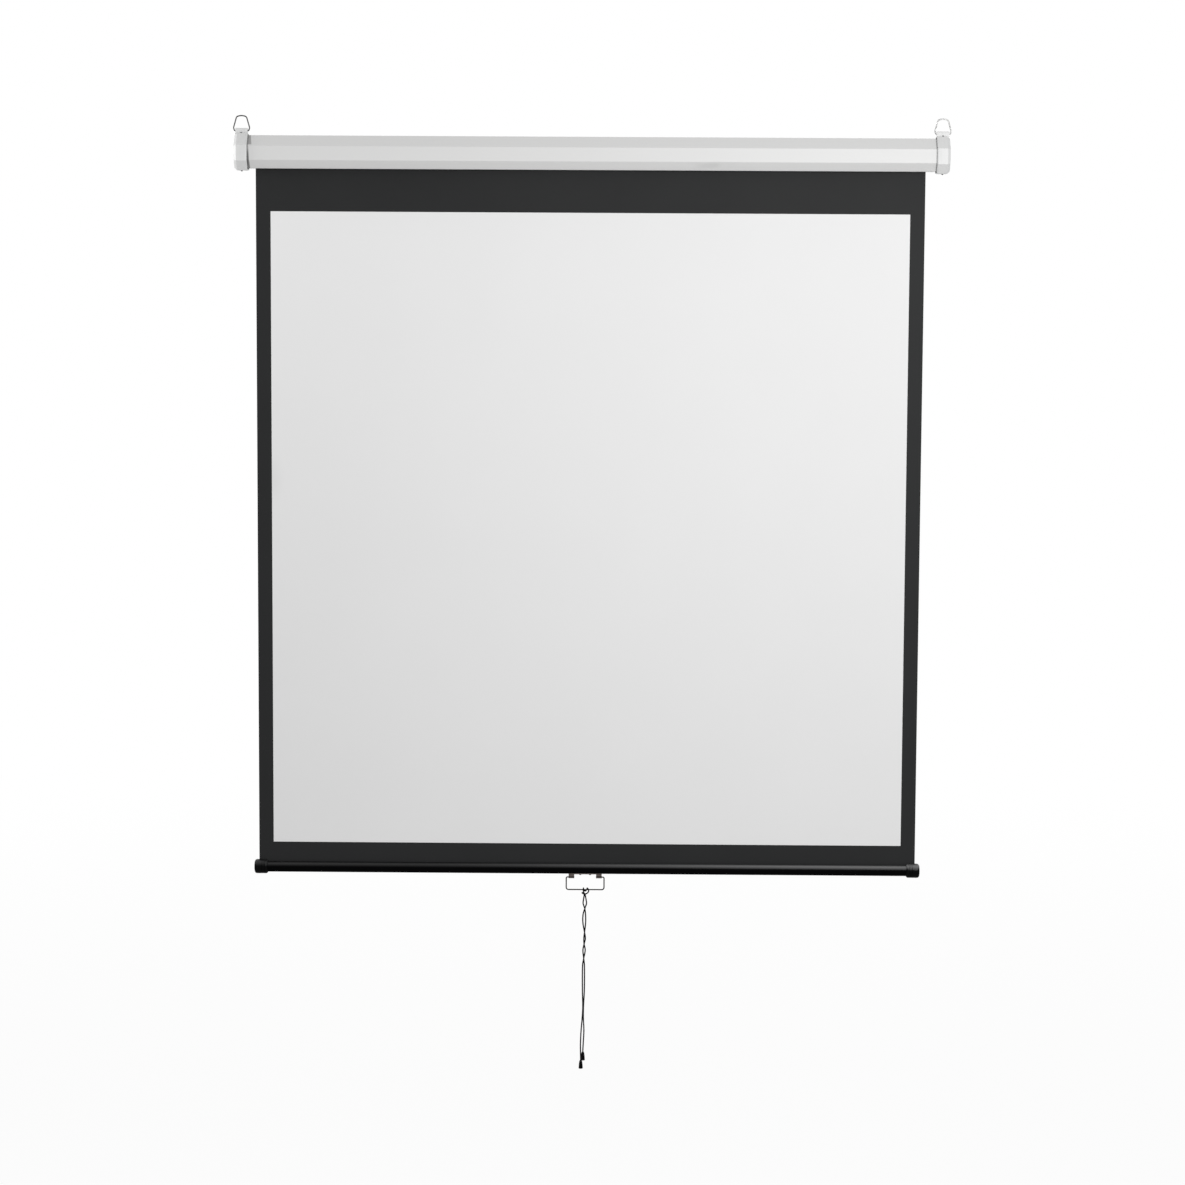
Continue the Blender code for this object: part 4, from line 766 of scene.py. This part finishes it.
def even_steps(low, high, spacing):
    """Values from low to high, evenly spaced."""
    count = max(1, round((high - low) / spacing))
    return [low + (high - low) * k / count for k in range(count + 1)]


def smooth_route(route, start, spacing):
    """Evenly spaced points, in metres, on a smooth curve through a route's own points."""
    knots = [Vector(point) * MM for point in route]
    reach = [0.0]
    for a, b in zip(knots, knots[1:]):
        reach.append(reach[-1] + (b - a).length)
    slopes = []
    for i in range(len(knots)):
        low, high = max(i - 1, 0), min(i + 1, len(knots) - 1)
        slopes.append((knots[high] - knots[low]) / (reach[high] - reach[low]))
    count = max(2, round(reach[-1] / spacing))
    points = []
    i = 0
    for k in range(count + 1):
        along = reach[-1] * k / count
        while i < len(knots) - 2 and reach[i + 1] <= along + ROUNDING:
            i += 1
        span = reach[i + 1] - reach[i]
        t = (along - reach[i]) / span
        points.append(
            start
            + knots[i] * (2 * t**3 - 3 * t**2 + 1)
            + slopes[i] * span * (t**3 - 2 * t**2 + t)
            + knots[i + 1] * (3 * t**2 - 2 * t**3)
            + slopes[i + 1] * span * (t**3 - t**2)
        )
    return points


def braided_tube(name, path, sizes, finish):
    """A braided cord along a path: strands cross over and under each other round its surface."""
    points = []
    travelled = 0.0
    side = Vector((1, 0, 0))
    for k, centre in enumerate(path):
        ahead = path[min(k + 1, len(path) - 1)] - path[max(k - 1, 0)]
        ahead.normalize()
        side = (side - ahead * side.dot(ahead)).normalized()
        across = ahead.cross(side)
        if k:
            travelled += (centre - path[k - 1]).length
        for s in range(CORD_SIDES):
            turn = s / CORD_SIDES
            one_way = math.sin(math.pi * (sizes.braid_strands * turn + travelled / sizes.braid_length))
            other_way = math.sin(math.pi * (sizes.braid_strands * turn - travelled / sizes.braid_length))
            lift = sizes.braid_height * (abs(one_way * other_way) ** BRAID_CROWN - 0.5)
            angle = math.tau * turn
            radius = sizes.cord_radius + lift
            points.append(centre + (side * math.cos(angle) + across * math.sin(angle)) * radius)
    faces = skin(CORD_SIDES, len(path))
    faces.append(tuple(range(CORD_SIDES))[::-1])
    faces.append(tuple(range(len(points) - CORD_SIDES, len(points))))
    piece = mesh_piece(name, points, faces, [finish])
    outward(piece.data)
    return piece


def path_length(path):
    """The length of a path through points."""
    return sum((b - a).length for a, b in zip(path, path[1:]))


def lamp(name, place, aim, size, watts):
    """A rectangular lamp at a place, turned to what it lights."""
    data = bpy.data.lights.new(name, "AREA")
    data.shape = "RECTANGLE"
    data.size, data.size_y = size
    data.energy = watts
    made = bpy.data.objects.new(name, data)
    made.visible_camera = False
    made.location = place
    made.rotation_euler = (Vector(aim) - Vector(place)).to_track_quat("-Z", "Y").to_euler()
    bpy.context.scene.collection.objects.link(made)


class AddStage(Operator):
    """Add the camera, the pale floor, the studio lamps and the room's even light"""

    bl_idname = "screen.add_stage"
    bl_label = "Stage"

    def execute(self, context):
        self.camera(context)
        self.floor()
        self.room(context)
        light = context.scene.screen_light
        lamp("key", KEY_PLACE, KEY_AIM, KEY_SIZE, light.key)
        lamp("side", SIDE_PLACE, SIDE_AIM, SIDE_SIZE, light.side)
        context.scene.view_settings.view_transform = "Standard"
        return {"FINISHED"}

    def camera(self, context):
        """The photograph's own view."""
        data = bpy.data.cameras.new("camera")
        data.sensor_width = CAMERA_SENSOR
        data.lens = CAMERA_LENS
        data.clip_end = CAMERA_REACH
        made = bpy.data.objects.new("camera", data)
        level = math.cos(CAMERA_PITCH)
        ahead = Vector((math.sin(CAMERA_YAW) * level, math.cos(CAMERA_YAW) * level, -math.sin(CAMERA_PITCH)))
        right = Vector((math.cos(CAMERA_YAW), -math.sin(CAMERA_YAW), 0.0))
        up = right.cross(ahead)
        turned_right = right * math.cos(CAMERA_ROLL) + up * math.sin(CAMERA_ROLL)
        turned_up = up * math.cos(CAMERA_ROLL) - right * math.sin(CAMERA_ROLL)
        turn = Matrix((turned_right, turned_up, -ahead)).transposed()
        place = Vector((CAMERA_X, -CAMERA_DISTANCE, CAMERA_Z))
        made.matrix_world = Matrix.Translation(place) @ turn.to_4x4()
        context.scene.collection.objects.link(made)
        context.scene.camera = made

    def floor(self):
        """A wide, level floor under the screen."""
        signs = ((-1, -1), (1, -1), (1, 1), (-1, 1))
        corners = [(x * FLOOR_HALF, y * FLOOR_HALF, FLOOR_Z) for x, y in signs]
        made = mesh_piece("floor", corners, [(0, 1, 2, 3)], [self.floor_finish()], smooth=False)

    def floor_finish(self):
        """Pale floor that shows the screen's shadow near it and runs out into white."""
        made = Finish(
            "pale floor", Base_Color=FLOOR_COLOUR, Roughness=FLOOR_ROUGHNESS, Specular_IOR_Level=0.0
        )
        away = made.vector("LENGTH", made.place, output="Value")
        glow = FLOOR_GLOW + (1 - FLOOR_GLOW) * made.rise(away, FLOOR_FADE_START, FLOOR_FADE_END)
        made.turn_to(made.seen() * glow, "ShaderNodeEmission", "ShaderNodeOutputMaterial")
        return made.material

    def room(self, context):
        """Even light from all round, and plain white where the room itself is seen."""
        ambient = context.scene.screen_light.ambient
        made = Finish("room", bpy.data.worlds, "ShaderNodeBackground", Color=WHITE, Strength=ambient)
        made.turn_to(made.seen(), "ShaderNodeBackground", "ShaderNodeOutputWorld")
        context.scene.world = made.material


class DressCase(Operator):
    """Paint the case"""

    bl_idname = "screen.dress_case"
    bl_label = "Case"

    def execute(self, context):
        low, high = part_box("case_housing")
        paint = white_paint(context.scene.screen_colours.case_white, low.x, high.x, high.z)
        dress("case_housing", paint, context.scene.screen_sizes.edge_break)
        return {"FINISHED"}


class DressEndCaps(Operator):
    """Finish the end caps, their bearing plates and the screws that hold them"""

    bl_idname = "screen.dress_end_caps"
    bl_label = "End caps"

    def execute(self, context):
        colours = context.scene.screen_colours
        edge = context.scene.screen_sizes.edge_break
        case_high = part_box("case_housing")[1]
        plastic = white_plastic(colours.cap_white, case_high.x + CASE_TO_CAP, case_high.z)
        zinc = zinc_plate(colours.zinc)
        # The cap screws are painted nearly black, as painted shade
        dulled = zinc_plate(shade(colours.zinc, SCREW_PAINTED_SHADE), "zinc screws in painted shade")
        for side in ("left", "right"):
            dress(f"end_cap_{side}", plastic, edge)
            dress(f"bearing_plate_{side}", zinc, edge)
            for row in ("top", "bottom"):
                dress(f"cap_screw_{row}_{side}", dulled)
        return {"FINISHED"}


class DressRings(Operator):
    """Finish the two hanging rings"""

    bl_idname = "screen.dress_rings"
    bl_label = "Hanging rings"

    def execute(self, context):
        base = context.scene.screen_colours.ring
        # The rings are lit and shaded copies of one wire: the left one painted in shade, the right one
        # painted lit
        for side, share in RING_PAINTED_LIGHT.items():
            wire = drawn_wire(f"plated ring wire with painted light {side}", shade(base, share), shade(base, share * 0.6))
            dress(f"d_ring_{side}", wire)
        return {"FINISHED"}


class DressRoller(Operator):
    """Finish the roller with its plugs, pin, spring, axle, pawls and bush"""

    bl_idname = "screen.dress_roller"
    bl_label = "Roller"

    def execute(self, context):
        colours = context.scene.screen_colours
        edge = context.scene.screen_sizes.edge_break
        zinc = zinc_plate(colours.zinc, "zinc roller")
        grey = moulded_plastic("grey moulded plastic", colours.grey_plastic, roughness=0.42, specular=0.5)
        spring = drawn_wire("oiled spring wire", colours.spring, shade(colours.spring, 0.5))
        for node in ("roller_tube", "spear_axle", "idle_pin"):
            dress(node, zinc, edge)
        for node in ("pawl_upper", "pawl_lower"):
            dress(node, zinc)
        for node in ("idle_plug", "lock_plug", "spring_anchor", "idle_bush"):
            dress(node, grey, edge)
        dress("torsion_spring", spring)
        return {"FINISHED"}


class WindRoll(Operator):
    """Wind the turns of cloth that stay on the roller"""

    bl_idname = "screen.wind_roll"
    bl_label = "Roll of cloth"

    def execute(self, context):
        sizes = context.scene.screen_sizes
        cloth = black_cloth(context.scene.screen_colours.cloth_black, "black cloth on the roll")
        low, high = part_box("fabric_wraps")
        tube_low, tube_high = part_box("roller_tube")
        middle = (tube_low + tube_high) / 2
        outer = high.y - middle.y - sizes.cloth_thickness / 2
        pitch = sizes.cloth_thickness + sizes.roll_spacing
        steps = ROLL_STEPS * sizes.roll_turns
        outline = []
        for k in range(steps + 1):
            angle = math.tau * sizes.roll_turns * k / steps
            outline.append(round_point(middle, outer - pitch * angle / math.tau, angle))
        stations = even_steps(low.x, high.x, ROLL_SECTION)
        piece = drawn_along_x("cloth_roll", outline, sizes.cloth_thickness, stations, cloth)
        unrolled = path_length(outline)
        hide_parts("fabric_wraps")
        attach(piece, "roller")
        return {"FINISHED"}


class HangScreen(Operator):
    """Hang the screen cloth: white picture area within a black border, black at the back"""

    bl_idname = "screen.hang_screen"
    bl_label = "Screen cloth"

    def execute(self, context):
        sizes = context.scene.screen_sizes
        colours = context.scene.screen_colours
        low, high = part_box("screen_fabric")
        picture_low, picture_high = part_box("viewing_surface")
        front = screen_front(colours.cloth_black, colours.picture_white, picture_low, picture_high)
        back = black_cloth(colours.cloth_black)
        columns = even_steps(low.x, high.x, sizes.cloth_mesh)
        rows = even_steps(low.z, high.z, sizes.cloth_mesh)
        middle_y = (low.y + high.y) / 2
        half = sizes.cloth_thickness / 2
        points, faces = [], []
        for depth in (-half, half):
            for z in rows:
                points += [(x, middle_y + depth + self.ripple(x, z, low, high, sizes), z) for x in columns]
        wide, tall = len(columns), len(rows)
        sheet = wide * tall
        for j in range(tall - 1):
            for i in range(wide - 1):
                a = j * wide + i
                faces.append((a, a + 1, a + wide + 1, a + wide))
        fronts = len(faces)
        faces += [tuple(sheet + corner for corner in face[::-1]) for face in faces]
        rim = list(range(wide))
        rim += [j * wide + wide - 1 for j in range(1, tall)]
        rim += [(tall - 1) * wide + i for i in range(wide - 2, -1, -1)]
        rim += [j * wide for j in range(tall - 2, 0, -1)]
        for a, b in zip(rim, rim[1:] + rim[:1]):
            faces.append((b, a, sheet + a, sheet + b))
        piece = mesh_piece("screen_cloth", points, faces, [front, back])
        piece.data.polygons.foreach_set("material_index", [0] * fronts + [1] * (len(faces) - fronts))
        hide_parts("screen_fabric", "viewing_surface")
        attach(piece, "bar")
        slide = next(joint for joint in frame["joints"] if joint["name"] == "bar_slide")
        left_over = 1 - max(slide["range_m"]) / (high.z - low.z)
        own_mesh(piece)
        return {"FINISHED"}

    def ripple(self, x, z, low, high, sizes):
        """How far the cloth stands behind its flat place: waves that fade at the roller and the bar."""
        fall = (high.z - z) / (high.z - low.z)
        fade = math.sin(math.pi * min(1.0, max(0.0, (fall - WAVE_START) / WAVE_SPAN))) ** WAVE_EASE
        phase = math.tau * (x + WAVE_LEAN * (z - high.z)) / sizes.ripple_width
        wave = FIRST_WAVE * math.sin(phase) + SECOND_WAVE * math.sin(SECOND_RATE * phase + SECOND_PHASE)
        wave += DRIFT_WAVE * noise.noise(Vector((x * DRIFT_RATE_X, z * DRIFT_RATE_Z, DRIFT_PLACE)))
        from_edge = min(x - low.x, high.x - x)
        curl = sizes.edge_curl * math.exp(-from_edge / CURL_REACH)
        return fade * (sizes.ripple_height * wave + curl)


class DressWeightBar(Operator):
    """Paint the weight bar, and fold the cloth's hem round the rod inside it"""

    bl_idname = "screen.dress_weight_bar"
    bl_label = "Weight bar"

    def execute(self, context):
        sizes = context.scene.screen_sizes
        colours = context.scene.screen_colours
        dress("weight_bar", gloss_black(colours.bar_black), sizes.edge_break)
        dress("hem_rod", zinc_plate(colours.zinc, "zinc rod"), sizes.edge_break)
        cloth = black_cloth(colours.cloth_black, "black cloth of the hem")
        low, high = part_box("hem_sleeve")
        rod_low, rod_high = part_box("hem_rod")
        middle = (rod_low + rod_high) / 2
        half = sizes.cloth_thickness / 2
        radius = high.y - middle.y - half
        spread = 2 * half + HEM_AIR
        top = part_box("screen_fabric")[0].z + HEM_LAP
        open_angle = math.asin(spread / radius)
        start, sweep = math.pi / 2 + open_angle, math.tau - 2 * open_angle
        outline = [Vector((middle.y - spread, top))]
        for k in range(HEM_STEPS + 1):
            outline.append(round_point(middle, radius, start + sweep * k / HEM_STEPS))
        outline.append(Vector((middle.y + spread, top)))
        stations = even_steps(low.x, high.x, HEM_SECTION)
        piece = drawn_along_x("cloth_hem", outline, sizes.cloth_thickness, stations, cloth)
        unfolded = path_length(outline)
        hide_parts("hem_sleeve")
        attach(piece, "bar")
        return {"FINISHED"}


class DressBarCaps(Operator):
    """Finish the two caps on the weight bar's ends"""

    bl_idname = "screen.dress_bar_caps"
    bl_label = "Bar caps"

    def execute(self, context):
        base = context.scene.screen_colours.plastic_black
        plastic = moulded_plastic(
            "black moulded plastic", base, roughness=0.34, specular=0.02, polish=0.50, with_painted_highlight=True
        )
        for side in ("left", "right"):
            dress(f"bar_cap_{side}", plastic, context.scene.screen_sizes.edge_break)
        return {"FINISHED"}


class DressHandle(Operator):
    """Finish the handle's bracket, rivets and wire bail"""

    bl_idname = "screen.dress_handle"
    bl_label = "Pull handle"

    def execute(self, context):
        colours = context.scene.screen_colours
        low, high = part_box("handle_bracket")
        roll_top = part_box("handle_bail")[1].z + KNUCKLE_WALL
        knuckle = (high.x - low.x) / 2 - KNUCKLE_LENGTH
        steel = pressed_steel(colours.bracket, (low.x + high.x) / 2, knuckle, roll_top)
        wire = drawn_wire("bronzed bail wire", colours.bail, shade(colours.bail, 0.6))
        dress("handle_bracket", steel, BRACKET_EDGE)
        for side in ("left", "right"):
            dress(f"bracket_rivet_{side}", steel)
        dress("handle_bail", wire)
        return {"FINISHED"}


class TieCord(Operator):
    """Tie the braided pull cord over the bail, with its two strands and their bells"""

    bl_idname = "screen.tie_cord"
    bl_label = "Pull cord"

    def execute(self, context):
        sizes = context.scene.screen_sizes
        colours = context.scene.screen_colours
        yarn = braided_cord(colours.cord_black)
        plastic = moulded_plastic(
            "black bell plastic", colours.plastic_black, roughness=0.34, specular=0.02, polish=0.20
        )
        low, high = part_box("handle_bail")
        # The bail is as deep as its wire is thick
        wire_radius = (high.y - low.y) / 2
        start = Vector(((low.x + high.x) / 2, (low.y + high.y) / 2, low.z + wire_radius))
        short_path, hitch_path, long_path = self.cord_paths(start)
        hitch = braided_tube("pull_cord_hitch", hitch_path, sizes, yarn)
        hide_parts("cord_hitch")
        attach(hitch, "cord")
        for name, path, others in (("short", short_path, [hitch]), ("long", long_path, [])):
            bell = dress(f"bell_{name}", plastic, BELL_EDGE)
            strand = braided_tube(f"pull_cord_{name}", path, sizes, yarn)
            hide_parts(f"cord_strand_{name}")
            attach(strand, "cord")
            path_length(path)
            path[::CORD_STRIDE] + path[-1:]
        return {"FINISHED"}

    def cord_paths(self, start):
        """One curve from bell to bell, cut at the hitch's two ends: short strand, hitch, long strand."""
        whole = smooth_route((*SHORT_ROUTE[::-1], *HITCH_ROUTE, *LONG_ROUTE), start, CORD_STEP)
        cuts = []
        for route in (SHORT_ROUTE, LONG_ROUTE):
            joint = start + Vector(route[0]) * MM
            cuts.append(min(range(len(whole)), key=lambda i: (whole[i] - joint).length))
        first, last = cuts
        hitch = whole[first - CORD_JOINT:last + CORD_JOINT + 1]
        return whole[first::-1], hitch, whole[last:]


# The order in which the screen is put together
STEPS = (
    AddStage, DressCase, DressEndCaps, DressRings, DressRoller, WindRoll, DressWeightBar, HangScreen,
    DressBarCaps, DressHandle, TieCord,
)


class ScreenPanel(Panel):
    """Sizes, colours, lights and steps of the projector screen"""

    bl_idname = "VIEW3D_PT_screen"
    bl_label = "Projector Screen"
    bl_space_type = "VIEW_3D"
    bl_region_type = "UI"
    bl_category = "Screen"

    def draw(self, context):
        for title, group in (
            ("Sizes", context.scene.screen_sizes),
            ("Colours", context.scene.screen_colours),
            ("Light", context.scene.screen_light),
        ):
            box = self.layout.box()
            box.label(text=title)
            for name in group.__annotations__:
                box.prop(group, name)
        for step in STEPS:
            self.layout.operator(step.bl_idname)


GROUPS = {
    "screen_sizes": ScreenSizes,
    "screen_colours": ScreenColours,
    "screen_light": ScreenLight,
}


def register():
    """Adds the steps, the panel and the screen's own settings to Blender."""
    for made in (*GROUPS.values(), *STEPS, ScreenPanel):
        bpy.utils.register_class(made)
    for name, group in GROUPS.items():
        setattr(bpy.types.Scene, name, PointerProperty(type=group))


def unregister():
    """Takes them out again."""
    for name in GROUPS:
        delattr(bpy.types.Scene, name)
    for made in (ScreenPanel, *reversed(STEPS), *reversed(GROUPS.values())):
        bpy.utils.unregister_class(made)


def main():
    """Dresses the whole screen."""
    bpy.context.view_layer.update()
    register()
    for step in STEPS:
        group, name = step.bl_idname.split(".")
        getattr(getattr(bpy.ops, group), name)()


if __name__ == "__main__":
    main()
